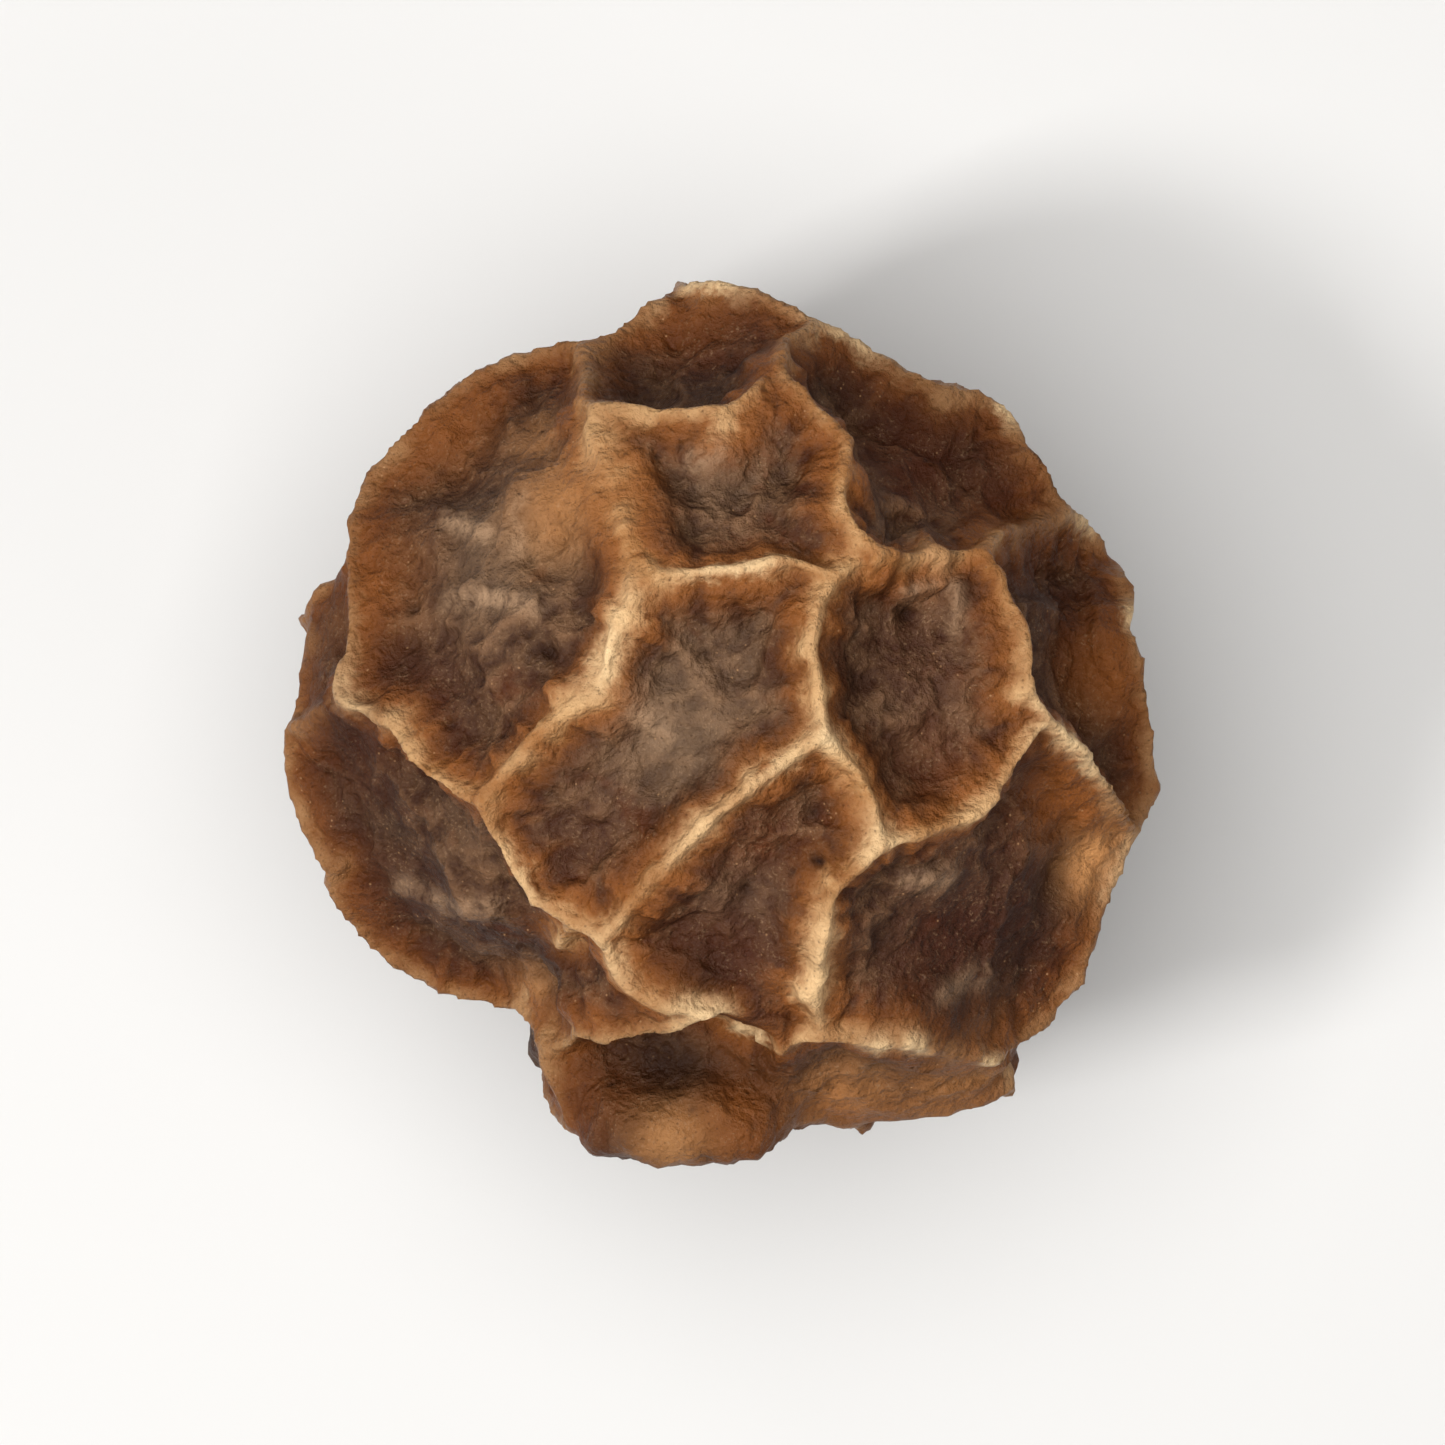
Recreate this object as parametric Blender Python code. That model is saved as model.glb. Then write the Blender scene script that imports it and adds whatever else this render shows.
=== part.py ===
"""A black peppercorn: a dried round berry whose skin has drawn in over the seed and stands up in a net of
ridges. The whole berry is one closed solid. It lies on a small flat spot at z = 0, and +X is its right
side and +Y its far side when it is seen from above. Sizes are in millimetres until the mesh is written."""

import math
import random

import bmesh
import bpy
import numpy as np
from mathutils import Vector, geometry, noise

MILLIMETRE = 0.001  # metres

# Driving sizes of the berry, in millimetres
HALF_HEIGHT = 2.45
MEAN_RADIUS = 2.65
OUTLINE_FADE = 0.42  # sine of the height angle over which the outline's bumps fade below the rim
REST_CUT_RADIUS = 0.85  # where the ground's plane cuts the rounded underside
REST_SPOT_MIDDLE = (0.01, -0.13)  # x and y, under the berry's weight
REST_CORNERS = ((24, 0.93), (114, 0.84), (208, 0.92), (303, 0.86))  # degrees round it, and radius
REST_SIDE_HOLLOW = 0.12  # how far a side of the rest spot bends in, as a share
REST_CLEARANCE = 0.03  # from the ground to the skin beside the rest spot
REST_FLARE = 0.12  # how steeply the skin leaves the ground there, at least
RIDGE_HEIGHT = 0.38
RIDGE_HALF_WIDTH = 0.170
RIDGE_STEEPNESS = 2.2  # how squarely a ridge falls to its cells
POINT_SPACING = 0.132  # along a ridge's crest
SHOULDER = 0.075  # from the crest to the first row of points in a cell
FOOT = 0.165  # from the crest to the second row
GRID_SPACING = 0.185  # between the points of a cell's middle
GRID_SCATTER = 0.02
FLOOR_SWELL = 0.35  # the floors' unevenness, as a share of the ridge height
FLOOR_SWELL_TURNS = 1.6  # swells in a millimetre

# The outline seen from above: radius in millimetres at an angle in degrees, counted from +X towards +Y
OUTLINE = (
    (-8, 2.74),
    (15, 2.68),
    (29, 2.50),
    (47, 2.62),
    (65, 2.46),
    (84, 2.69),
    (95, 2.69),
    (107, 2.49),
    (125, 2.62),
    (145, 2.67),
    (167, 2.70),
    (183, 2.82),
    (205, 2.76),
    (225, 2.56),
    (237, 2.33),
    (248, 2.82),
    (257, 2.98),
    (272, 2.98),
    (284, 2.78),
    (303, 3.04),
    (311, 2.98),
    (320, 2.90),
    (338, 2.77),
)

# Cells of the net that show from above, each at about its middle: x and y in millimetres.
# G is the hollow of the stalk scar, and S is the narrow groove beside it.
TOP_CELLS = {
    "A": (-0.25, 2.20),
    "B": (-1.62, 0.90),
    "C": (0.00, 1.42),
    "K": (1.35, 1.50),
    "D": (-0.40, -0.15),
    "E": (1.25, 0.12),
    "I": (2.20, 0.45),
    "F": (0.10, -1.50),
    "H": (1.50, -1.45),
    "L": (-1.85, -1.05),
    "G": (-0.35, -2.35),
    "S": (-0.62, -1.92),
    "N": (-2.52, 0.42),
    "M": (0.95, -2.40),
}

# Cells just past the rim: angle round the berry and height angle, in degrees
SIDE_CELLS = {
    "P": (40, -10),
    "O": (6, -14),
    "X": (-32, -16),
    "Y": (-62, -26),
    "W": (-97, -20),
    "V": (-134, -14),
    "U": (-170, -16),
    "T": (148, -5),
    "R": (116, -6),
    "Q": (76, -10),
}
REST_CELL = "rest"
HIDDEN_CELLS = 18
HIDDEN_CEILING = -0.50  # sine of the height angle that no hidden cell's middle goes above
HIDDEN_SEED = 11
LEAST_CELL_ANGLE = 17  # degrees between two cells' middles when they are drawn
SPREADING_STEPS = 60
SPREADING_PUSH = 0.0012
JUNCTION_SCATTER = 0.035  # as a share of the berry's radius
CREST_WANDER = 0.13  # how far a hidden crest strays sideways, as a share of its length
CREST_TWIST = 0.06  # the same for its second bend, the other way at each end
JUNCTION_SHARES = (0.92, 1.08)  # how far a junction stands up, as a share of the full height
CREST_DIPS = (0.02, 0.34)  # how far a crest dips between its junctions
CREST_RIPPLE = 0.05
SPREAD_OF_BREADTHS = (0.80, 1.25)
SPREAD_OF_FLOORS = (0.85, 1.15)

# The relief fades over these height angles, in degrees, to this share of its height at the rest spot
RELIEF_FADES_FROM, RELIEF_FADES_TO, RELIEF_AT_REST_SPOT = -38, -68, 0.12

# Where three cells of the visible net meet: x and y in millimetres
JUNCTIONS = {
    "ABC": (-0.75, 1.83),
    "BCD": (-0.50, 0.80),
    "BDL": (-1.45, -0.60),
    "DFS": (-0.71, -1.39),
    "DLS": (-0.87, -1.30),
    "DEF": (0.60, -0.15),
    "CDE": (0.62, 0.87),
    "CEK": (0.84, 1.00),
    "ACK": (0.35, 2.15),
    "EFH": (0.95, -0.82),
    "EHI": (2.00, -0.08),
    "EIK": (1.60, 0.95),
    "FHM": (0.60, -2.05),
    "FGM": (0.36, -2.13),
    "FGS": (-0.02, -1.91),
    "GLS": (-0.92, -2.04),
    "BLN": (-2.40, 0.03),
    "HMX": (1.65, -2.20),
    "HIX": (2.55, -0.83),
    "IKP": (2.13, 1.17),
    "IOP": (2.47, 0.86),
    "IOX": (2.65, -0.52),
    "AKQ": (0.57, 2.36),
    "KPQ": (1.40, 1.97),
    "ABR": (-0.86, 2.24),
    "AQR": (-0.31, 2.60),
    "BRT": (-1.66, 1.97),
    "BNT": (-2.31, 0.95),
    "NTU": (-2.58, 0.62),
    "LNU": (-2.70, -0.15),
    "LUV": (-2.47, -1.05),
    "GLV": (-1.12, -2.12),
    "GVW": (-0.90, -2.66),
    "GMW": (0.43, -2.66),
    "MWY": (0.72, -2.63),
    "MXY": (1.79, -2.35),
}

# Points that a visible ridge's crest passes on its way between its junctions: x and y in millimetres
CREST_BENDS = {
    "AC": ((-0.10, 1.84), (0.15, 1.93)),
    "CK": ((0.35, 2.00), (0.50, 1.88), (0.75, 1.58), (0.65, 1.20)),
    "BC": ((-0.72, 1.65), (-0.62, 1.15)),
    "BD": ((-0.70, 0.38), (-0.78, 0.18), (-1.05, -0.05), (-1.32, -0.38)),
    "CD": ((-0.35, 0.83), (0.00, 0.84), (0.42, 0.92)),
    "DE": ((0.50, 0.52), (0.52, 0.32)),
    "DF": ((-0.50, -1.12), (-0.28, -0.82), (0.08, -0.52), (0.30, -0.36)),
    "DL": ((-1.28, -0.88), (-1.10, -1.15)),
    "EF": ((0.82, -0.36), (0.92, -0.55)),
    "EH": ((1.12, -0.80), (1.45, -0.66), (1.72, -0.44)),
    "EI": ((1.70, 0.72), (1.82, 0.42), (1.86, 0.12)),
    "EK": ((1.15, 0.96), (1.38, 1.00)),
    "FH": ((0.85, -0.92), (0.66, -1.10), (0.56, -1.42), (0.54, -1.75)),
    "FS": ((-0.70, -1.60), (-0.56, -1.75), (-0.32, -1.81)),
    "LS": ((-1.08, -1.55), (-1.12, -1.78)),
    "GS": ((-0.25, -1.99), (-0.50, -2.05)),
    "FG": ((0.20, -2.00),),
    "BL": ((-2.20, 0.00), (-2.05, -0.08), (-1.90, -0.28), (-1.78, -0.45)),
    "HI": ((2.17, -0.25), (2.38, -0.54)),
    "HM": ((0.95, -2.06), (1.15, -2.05), (1.38, -2.15)),
    "HX": ((1.92, -2.09), (2.14, -1.82), (2.32, -1.40)),
    "IK": ((1.80, 1.12),),
    "IP": ((2.31, 1.05),),
    "IO": ((2.53, 0.51), (2.60, 0.15), (2.65, -0.20)),
    "NT": ((-2.51, 0.80),),
    "NU": ((-2.68, 0.30),),
    "LU": ((-2.70, -0.52),),
    "BT": ((-1.93, 1.72), (-2.23, 1.33)),
    "BR": ((-1.13, 2.22), (-1.43, 2.11)),
    "BN": ((-2.33, 0.50), (-2.35, 0.20)),
    "LV": ((-2.21, -1.51), (-1.84, -1.78), (-1.49, -1.86), (-1.25, -1.91)),
    "GW": ((-0.56, -2.70), (-0.20, -2.73), (0.12, -2.71)),
    "MY": ((1.03, -2.58), (1.43, -2.54)),
    "KQ": ((1.04, 2.11),),
    "KP": ((1.75, 1.84), (1.89, 1.57)),
    "AQ": ((0.12, 2.60),),
}

# How far a visible ridge stands up at its middle, as a share of the full height. The others dip at random.
CREST_SHARES = {
    "AC": 0.80,
    "BC": 0.70,
    "CD": 0.85,
    "LS": 0.35,
    "GM": 0.55,
    "EK": 0.75,
    "IK": 0.55,
    "LN": 0.70,
    "GW": 1.15,
    "GS": 0.80,
    "BN": 0.90,
    "EH": 0.85,
    "AQ": 1.00,
    "BR": 0.95,
    "BT": 0.98,
    "HX": 1.00,
    "IO": 1.00,
    "IP": 1.00,
    "KP": 1.00,
    "KQ": 1.00,
    "LU": 1.00,
    "LV": 1.00,
    "MY": 1.05,
}

# Ridges that are broader or finer than the rest, as a share of the usual half width
CREST_BREADTHS = {
    "BC": 1.70,
    "BD": 1.25,
    "GW": 1.75,
    "GV": 1.40,
    "MY": 1.50,
    "HI": 0.85,
    "HM": 1.25,
    "EH": 0.80,
    "BL": 0.85,
    "DL": 0.85,
    "CK": 1.15,
    "LS": 0.80,
    "FS": 0.85,
    "GS": 0.75,
}

# The stalk scar's lip: the line that it stands along from the berry's middle, its lift and its reach
COLLAR_LINE = ((-0.62, -2.72, 0.80), (0.25, -2.74, 0.80))
COLLAR_LIFT = (0.0, -0.02, 0.24)
COLLAR_REACH = 0.46

# How deep a cell's floor lies, as a share of the ridge height, where it isn't 1
FLOOR_SHARES = {
    "A": 1.05,
    "B": 0.95,
    "G": 1.60,
    "I": 1.10,
    "K": 1.20,
    "M": 0.55,
    "N": 0.60,
    "S": 0.75,
    "W": 0.45,
}


def unit(vector):
    return vector / np.linalg.norm(vector)


def outline_radius(angle):
    """The outline's radius at an angle in radians, on a smooth closed curve through OUTLINE."""
    degrees = [a for a, _ in OUTLINE]
    count = len(OUTLINE)
    a = (math.degrees(angle) - degrees[0]) % 360 + degrees[0]
    at = max(i for i in range(count) if degrees[i] <= a)
    following = degrees[(at + 1) % count] + (360 if at + 1 == count else 0)
    t = (a - degrees[at]) / (following - degrees[at])
    r0, r1, r2, r3 = (OUTLINE[(at + k) % count][1] for k in (-1, 0, 1, 2))
    return r1 + 0.5 * t * (r2 - r0 + t * (2 * r0 - 5 * r1 + 4 * r2 - r3 + t * (3 * (r1 - r2) + r3 - r0)))


def radius_at(angle, height_sine):
    """The berry's radius across at an angle: the outline at the rim, and rounder towards the poles."""
    share = 1 - height_sine**2
    if height_sine < 0:
        share = math.exp(-((height_sine / OUTLINE_FADE) ** 2))
    return MEAN_RADIUS + (outline_radius(angle) - MEAN_RADIUS) * share


def skin(direction):
    """The place of the ridges' crests in a direction, from the berry's middle."""
    x, y, z = direction
    angle = math.atan2(y, x)
    radius = radius_at(angle, z)
    return np.array([radius * x, radius * y, HALF_HEIGHT * z])


def lifted(x, y):
    """The direction on the upper side whose skin lies over the place x, y seen from above."""
    angle = math.atan2(y, x)
    across = math.hypot(x, y)
    sine = 0.0
    for _ in range(12):
        cosine = min(across / radius_at(angle, sine), 0.995)
        sine = math.sqrt(1 - cosine**2)
    return np.array([cosine * math.cos(angle), cosine * math.sin(angle), sine])


def aimed(angle, height):
    """The direction at an angle round the berry and a height angle, both in degrees."""
    a, h = math.radians(angle), math.radians(height)
    return np.array([math.cos(h) * math.cos(a), math.cos(h) * math.sin(a), math.sin(h)])


MIDDLE_HEIGHT = HALF_HEIGHT * math.sqrt(1 - (REST_CUT_RADIUS / MEAN_RADIUS) ** 2)


def place_cells():
    """Every cell's name and direction. The hidden ones are drawn at random, then pushed apart."""
    cells = {name: lifted(*place) for name, place in TOP_CELLS.items()}
    cells.update({name: aimed(*angles) for name, angles in SIDE_CELLS.items()})
    cells[REST_CELL] = np.array([0.0, 0.0, -1.0])
    draw = random.Random(HIDDEN_SEED)
    fixed = len(cells)
    while len(cells) < fixed + HIDDEN_CELLS:
        point = unit(np.array([draw.gauss(0, 1) for _ in range(3)]))
        nearest = max(float(point @ other) for other in cells.values())
        if point[2] < HIDDEN_CEILING and nearest < math.cos(math.radians(LEAST_CELL_ANGLE)):
            cells[f"hidden_{len(cells) - fixed + 1}"] = point
    names = list(cells)
    for _ in range(SPREADING_STEPS):
        for name in names[fixed:]:
            here = cells[name]
            push = np.zeros(3)
            for other in names:
                if other != name:
                    away = here - cells[other]
                    push += away / np.linalg.norm(away) ** 4
            here = here + SPREADING_PUSH * push
            here[2] = min(here[2], HIDDEN_CEILING)
            cells[name] = unit(here)
    return cells


def find_junctions(cells):
    """Which three cells meet at each junction: the faces of the hull round the cells' directions."""
    names = list(cells)
    hull = bmesh.new()
    for name in names:
        hull.verts.new(cells[name])
    bmesh.ops.convex_hull(hull, input=hull.verts)
    hull.verts.index_update()
    bmesh.ops.triangulate(hull, faces=hull.faces)
    found = []
    for face in hull.faces:
        corners = [names[v.index] for v in face.verts]
        if unit(np.array(face.normal)) @ unit(sum(cells[c] for c in corners)) < 0:
            corners.reverse()
        found.append(tuple(corners))
    hull.free()
    return found


def key_of(names):
    """A junction's or a ridge's name: its cells in order of the alphabet."""
    return "".join(sorted(names))


class Ridge:
    """A crest between two cells, from one junction to another, as a row of directions."""

    def __init__(self, pair, start, end, directions, shares, breadth):
        self.pair, self.start, self.end = pair, start, end
        self.directions, self.shares, self.breadth = directions, shares, breadth
        self.points = []


def smooth_route(stops, spacing):
    """Directions evenly spaced along a smooth curve through the stops."""
    knots = [skin(s) for s in stops]
    padded = [2 * knots[0] - knots[1], *knots, 2 * knots[-1] - knots[-2]]
    fine = []
    for i in range(1, len(padded) - 2):
        p0, p1, p2, p3 = padded[i - 1 : i + 3]
        for t in np.linspace(0, 1, 24, endpoint=False):
            bend = 2 * p0 - 5 * p1 + 4 * p2 - p3 + t * (3 * (p1 - p2) + p3 - p0)
            fine.append(p1 + 0.5 * t * (p2 - p0 + t * bend))
    fine.append(knots[-1])
    steps = np.linalg.norm(np.diff(fine, axis=0), axis=1)
    along = np.concatenate([[0], np.cumsum(steps)])
    count = max(2, round(along[-1] / spacing))
    places = np.linspace(0, along[-1], count + 1)
    fine = np.array(fine)
    route = np.stack([np.interp(places, along, fine[:, k]) for k in range(3)], axis=1)
    return [direction_of(p) for p in route]


def direction_of(point):
    """The direction whose skin lies on the line from the berry's middle through a point."""
    x, y, z = point
    angle = math.atan2(y, x)
    direction = unit(np.array([x / MEAN_RADIUS, y / MEAN_RADIUS, z / HALF_HEIGHT]))
    for _ in range(6):
        radius = radius_at(angle, direction[2])
        direction = unit(np.array([x / radius, y / radius, z / HALF_HEIGHT]))
    return direction


def place_junctions(cells, corners):
    """Each junction's direction and how far it stands up."""
    draw = random.Random(HIDDEN_SEED + 1)
    missing = set(JUNCTIONS) - {key_of(c) for c in corners}
    if missing:
        raise ValueError(f"no junction of the net has these cells: {sorted(missing)}")
    directions, shares = {}, {}
    for names in corners:
        key = key_of(names)
        a, b, c = (cells[n] for n in names)
        middle = unit(a + b + c)
        even = unit(np.cross(b - a, c - a))
        turn = np.array([draw.uniform(-1, 1) for _ in range(3)])
        shares[key] = draw.uniform(*JUNCTION_SHARES)
        if key in JUNCTIONS:
            directions[key] = lifted(*JUNCTIONS[key])
        else:
            directions[key] = unit(0.5 * middle + 0.5 * even + JUNCTION_SCATTER * turn)
        if REST_CELL in names:
            shares[key] = 1.0
    resting = {key_of(names): directions[key_of(names)] for names in corners if REST_CELL in names}
    directions.update({key: rest_edge(rest_angle(d)) for key, d in resting.items()})
    for corner, _ in REST_CORNERS:
        angle = math.radians(corner)
        nearest = max(resting, key=lambda key: math.cos(rest_angle(resting[key]) - angle))
        directions[nearest] = rest_edge(angle)
    return directions, shares


def wandering(start, end, draw):
    """Stops between two junctions of a hidden ridge, off the straight line by a random amount."""
    across = np.cross(start, end)
    side = draw.uniform(-CREST_WANDER, CREST_WANDER)
    twist = draw.uniform(-CREST_TWIST, CREST_TWIST)
    stops = []
    for t in (0.25, 0.5, 0.75):
        offset = side * math.sin(math.pi * t) + twist * math.sin(2 * math.pi * t)
        stops.append(unit(start * (1 - t) + end * t + across * offset))
    return stops


def place_ridges(cells, corners, directions, shares):
    """One Ridge for each pair of cells that meet."""
    draw = random.Random(HIDDEN_SEED + 2)
    ends = {}
    for names in corners:
        for i in range(3):
            pair = key_of((names[i], names[(i + 1) % 3]))
            ends.setdefault(pair, []).append(names)
    ridges = []
    for pair in sorted(ends):
        first, second = (key_of(n) for n in ends[pair])
        owners = sorted(set(ends[pair][0]) & set(ends[pair][1]))
        start, end = directions[first], directions[second]
        flat = REST_CELL in owners
        bends = [lifted(*p) for p in CREST_BENDS.get(pair, ())]
        if bends and start @ bends[0] + end @ bends[-1] < end @ bends[0] + start @ bends[-1]:
            first, second, start, end = second, first, end, start
        stops = bends or wandering(start, end, draw)
        dip = draw.uniform(*CREST_DIPS)
        middle = 0.5 * (shares[first] + shares[second]) - dip
        middle = CREST_SHARES.get(pair, middle)
        breadth = CREST_BREADTHS.get(pair, draw.uniform(*SPREAD_OF_BREADTHS))
        if flat:
            stops = [rest_edge(rest_angle(start * (1 - t) + end * t)) for t in (0.25, 0.5, 0.75)]
            middle = 1.0
        route = smooth_route([start, *stops, end], POINT_SPACING)
        if flat:
            route = [rest_edge(rest_angle(d)) for d in route]
        levels = []
        for i in range(len(route)):
            t = i / (len(route) - 1)
            straight = shares[first] * (1 - t) + shares[second] * t
            mean = 0.5 * (shares[first] + shares[second])
            ripple = 0.0 if flat else draw.uniform(-CREST_RIPPLE, CREST_RIPPLE)
            levels.append(straight + (middle - mean + ripple) * math.sin(math.pi * t))
        ridges.append(Ridge(tuple(owners), first, second, route, levels, breadth))
    return ridges


def on_ground(direction):
    """The point of the ground's plane on the line from the berry's middle in a direction."""
    point = skin(direction)
    return point * (MIDDLE_HEIGHT / -point[2])


def rest_angle(direction):
    """The angle round the rest spot's middle, in radians, at which a direction meets the ground."""
    x, y = on_ground(direction)[:2] - REST_SPOT_MIDDLE
    return math.atan2(y, x)


def rest_radius(angle):
    """From the rest spot's middle to its edge, which has a few corners and slightly hollow sides."""
    first, first_radius = REST_CORNERS[0]
    at = (math.degrees(angle) - first) % 360 + first
    corners = [*REST_CORNERS, (first + 360, first_radius)]
    for (low, near), (high, far) in zip(corners, corners[1:]):
        if at <= high:
            break
    before, after = math.radians(at - low), math.radians(high - at)
    straight = near * far * math.sin(before + after) / (near * math.sin(before) + far * math.sin(after))
    return straight * (1 - REST_SIDE_HOLLOW * math.sin(math.pi * before / (before + after)))


def rest_edge(angle):
    """The direction of the rest spot's edge at an angle round the spot's middle."""
    x, y = REST_SPOT_MIDDLE
    radius = rest_radius(angle)
    return direction_of(
        [x + radius * math.cos(angle), y + radius * math.sin(angle), -MIDDLE_HEIGHT]
    )


def clear_of_ground(point):
    """The same point, raised where it would lie on the ground outside the rest spot."""
    x, y = point[:2] - REST_SPOT_MIDDLE
    outside = math.hypot(x, y) - rest_radius(math.atan2(y, x))
    least = REST_CLEARANCE + REST_FLARE * max(outside, 0) - MIDDLE_HEIGHT
    return np.array([point[0], point[1], max(point[2], least)])


def relief_depth(direction):
    """How deep the net is here, in millimetres: less and less towards the rest spot."""
    height = math.degrees(math.asin(max(-1, min(1, direction[2]))))
    t = (height - RELIEF_FADES_TO) / (RELIEF_FADES_FROM - RELIEF_FADES_TO)
    t = min(max(t, 0), 1)
    risen = t * t * (3 - 2 * t)
    return RIDGE_HEIGHT * (RELIEF_AT_REST_SPOT + (1 - RELIEF_AT_REST_SPOT) * risen)


def sunk(direction, depth):
    """The point a depth in millimetres below the crests' skin, towards the berry's middle."""
    point = skin(direction)
    return point * (1 - depth / np.linalg.norm(point))


class Skin:
    """The mesh as it grows: its points in millimetres from the berry's middle, and its triangles."""

    def __init__(self):
        self.points, self.triangles = [], []

    def add(self, point):
        self.points.append(point)
        return len(self.points) - 1

    def close(self, ring, middle):
        for i in range(len(ring)):
            self.triangles.append((ring[i], ring[(i + 1) % len(ring)], middle))


def cell_loop(name, cells, ridges):
    """The cell's ridges end to end, turning left as seen from outside: (ridge, forwards) pairs."""
    own = [r for r in ridges if name in r.pair]
    start = {}
    for ridge in own:
        other = cells[next(c for c in ridge.pair if c != name)]
        forwards = np.cross(ridge.directions[0], ridge.directions[-1]) @ (cells[name] - other) > 0
        start[ridge.start if forwards else ridge.end] = (ridge, forwards)
    at = next(iter(start))
    loop = []
    while len(loop) < len(own):
        ridge, forwards = start[at]
        loop.append((ridge, forwards))
        at = ridge.end if forwards else ridge.start
    return loop


def fill_cell(body, name, cells, ridges, draw):
    """A cell's sunk floor: a fine mesh of even triangles from its crest inwards."""
    crest, levels, breadths, indices = [], [], [], []
    for ridge, forwards in cell_loop(name, cells, ridges):
        order = range(len(ridge.directions))
        order = list(order if forwards else reversed(order))[:-1]
        crest += [ridge.directions[i] for i in order]
        levels += [ridge.shares[i] for i in order]
        breadths += [ridge.breadth] * len(order)
        indices += [ridge.points[i] for i in order]
    if name == REST_CELL:
        body.close(indices, body.add(np.array([*REST_SPOT_MIDDLE, -MIDDLE_HEIGHT])))
        return
    rim = np.array([skin(d) for d in crest])
    levels, breadths = np.array(levels), np.array(breadths)
    hub = skin(direction_of(rim.mean(0)))
    outwards = unit(hub)
    first = unit(np.cross(outwards, [0.3, 0.5, -0.8]))
    second = np.cross(outwards, first)
    flat = rim * (hub @ outwards / (rim @ outwards))[:, None]
    flat_rim = np.stack([(flat - hub) @ first, (flat - hub) @ second], axis=1)
    floor_share = FLOOR_SHARES.get(name, draw.uniform(*SPREAD_OF_FLOORS))

    def floor_point(place):
        direction = direction_of(hub + place[0] * first + place[1] * second)
        point = skin(direction)
        apart = np.linalg.norm(rim - point, axis=1)
        weights = 1 / (apart**4 + 1e-5)
        weights /= weights.sum()
        half_width = RIDGE_HALF_WIDTH * float(weights @ breadths)
        rise = math.exp(-((rim_distance(point, rim) / half_width) ** RIDGE_STEEPNESS))
        full = relief_depth(direction)
        crest_depth = full * (1 - float(weights @ levels))
        swell = FLOOR_SWELL * noise.noise(Vector(point) * FLOOR_SWELL_TURNS)
        floor_depth = full * (floor_share + swell)
        return clear_of_ground(sunk(direction, floor_depth + (crest_depth - floor_depth) * rise))

    inside = inner_points(flat_rim, draw)
    corners = [Vector(p) for p in (*flat_rim, *inside)]
    result = geometry.delaunay_2d_cdt(corners, [], [list(range(len(crest)))], 1, 1e-6)
    points, faces, sources = result[0], result[2], result[3]
    known = {}
    for i, source in enumerate(sources):
        given = [k for k in source if k < len(crest)]
        known[i] = indices[given[0]] if given else body.add(floor_point(points[i]))
    body.triangles += [tuple(known[i] for i in face) for face in faces]


def inner_points(rim, draw):
    """Places for a cell's inner points: two rows beside the crest, then an even grid in the middle."""
    ahead = np.roll(rim, -1, axis=0) - np.roll(rim, 1, axis=0)
    ahead /= np.linalg.norm(ahead, axis=1)[:, None]
    inwards = np.stack([-ahead[:, 1], ahead[:, 0]], axis=1)
    kept = []

    def keep(place, least_from_rim, least_apart):
        near = [np.hypot(*(place - other)) for other in kept]
        if min(near, default=9) > least_apart and encloses(rim, place):
            if rim_distance(place, rim) > least_from_rim:
                kept.append(place)

    for offset in (SHOULDER, FOOT):
        for place in rim + inwards * offset:
            keep(place, 0.86 * offset, 0.60 * SHOULDER + 0.25 * offset)
    low, high = rim.min(0), rim.max(0)
    row = 0
    y = low[1]
    while y < high[1]:
        x = low[0] + (row % 2) * GRID_SPACING / 2
        while x < high[0]:
            shift = [draw.uniform(-GRID_SCATTER, GRID_SCATTER) for _ in range(2)]
            keep(np.array([x, y]) + shift, FOOT + 0.07, 0.6 * GRID_SPACING)
            x += GRID_SPACING
        y += GRID_SPACING * math.sqrt(3) / 2
        row += 1
    return kept


def encloses(rim, place):
    """Whether a closed flat line goes round a place."""
    a, b = rim, np.roll(rim, -1, axis=0)
    spans = (a[:, 1] > place[1]) != (b[:, 1] > place[1])
    rise = np.where(b[:, 1] == a[:, 1], 1, b[:, 1] - a[:, 1])
    crossing = a[:, 0] + (place[1] - a[:, 1]) * (b[:, 0] - a[:, 0]) / rise
    return bool(np.count_nonzero(spans & (crossing > place[0])) % 2)


def rim_distance(place, rim):
    """The least distance from a place to the closed crest line through the rim's points."""
    step = np.roll(rim, -1, axis=0) - rim
    t = np.clip(((place - rim) * step).sum(1) / (step * step).sum(1), 0, 1)
    return float(np.linalg.norm(rim + step * t[:, None] - place, axis=1).min())


def crest_point(direction, share, resting):
    """A point of a crest that stands up by a share of the relief, or on the ground at the rest spot."""
    if resting:
        return on_ground(direction)
    return clear_of_ground(sunk(direction, relief_depth(direction) * (1 - share)))


def grow_skin():
    """The whole berry's mesh in millimetres, with its middle at the origin."""
    cells = place_cells()
    corners = find_junctions(cells)
    directions, shares = place_junctions(cells, corners)
    ridges = place_ridges(cells, corners, directions, shares)
    body = Skin()
    resting = {key_of(names) for names in corners if REST_CELL in names}
    joined = {}
    for key, direction in directions.items():
        joined[key] = body.add(crest_point(direction, shares[key], key in resting))
    for ridge in ridges:
        ridge.points = [joined[ridge.start]]
        for direction, share in zip(ridge.directions[1:-1], ridge.shares[1:-1]):
            ridge.points.append(body.add(crest_point(direction, share, REST_CELL in ridge.pair)))
        ridge.points.append(joined[ridge.end])
    draw = random.Random(HIDDEN_SEED + 3)
    for name in cells:
        fill_cell(body, name, cells, ridges, draw)
    return body


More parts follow.
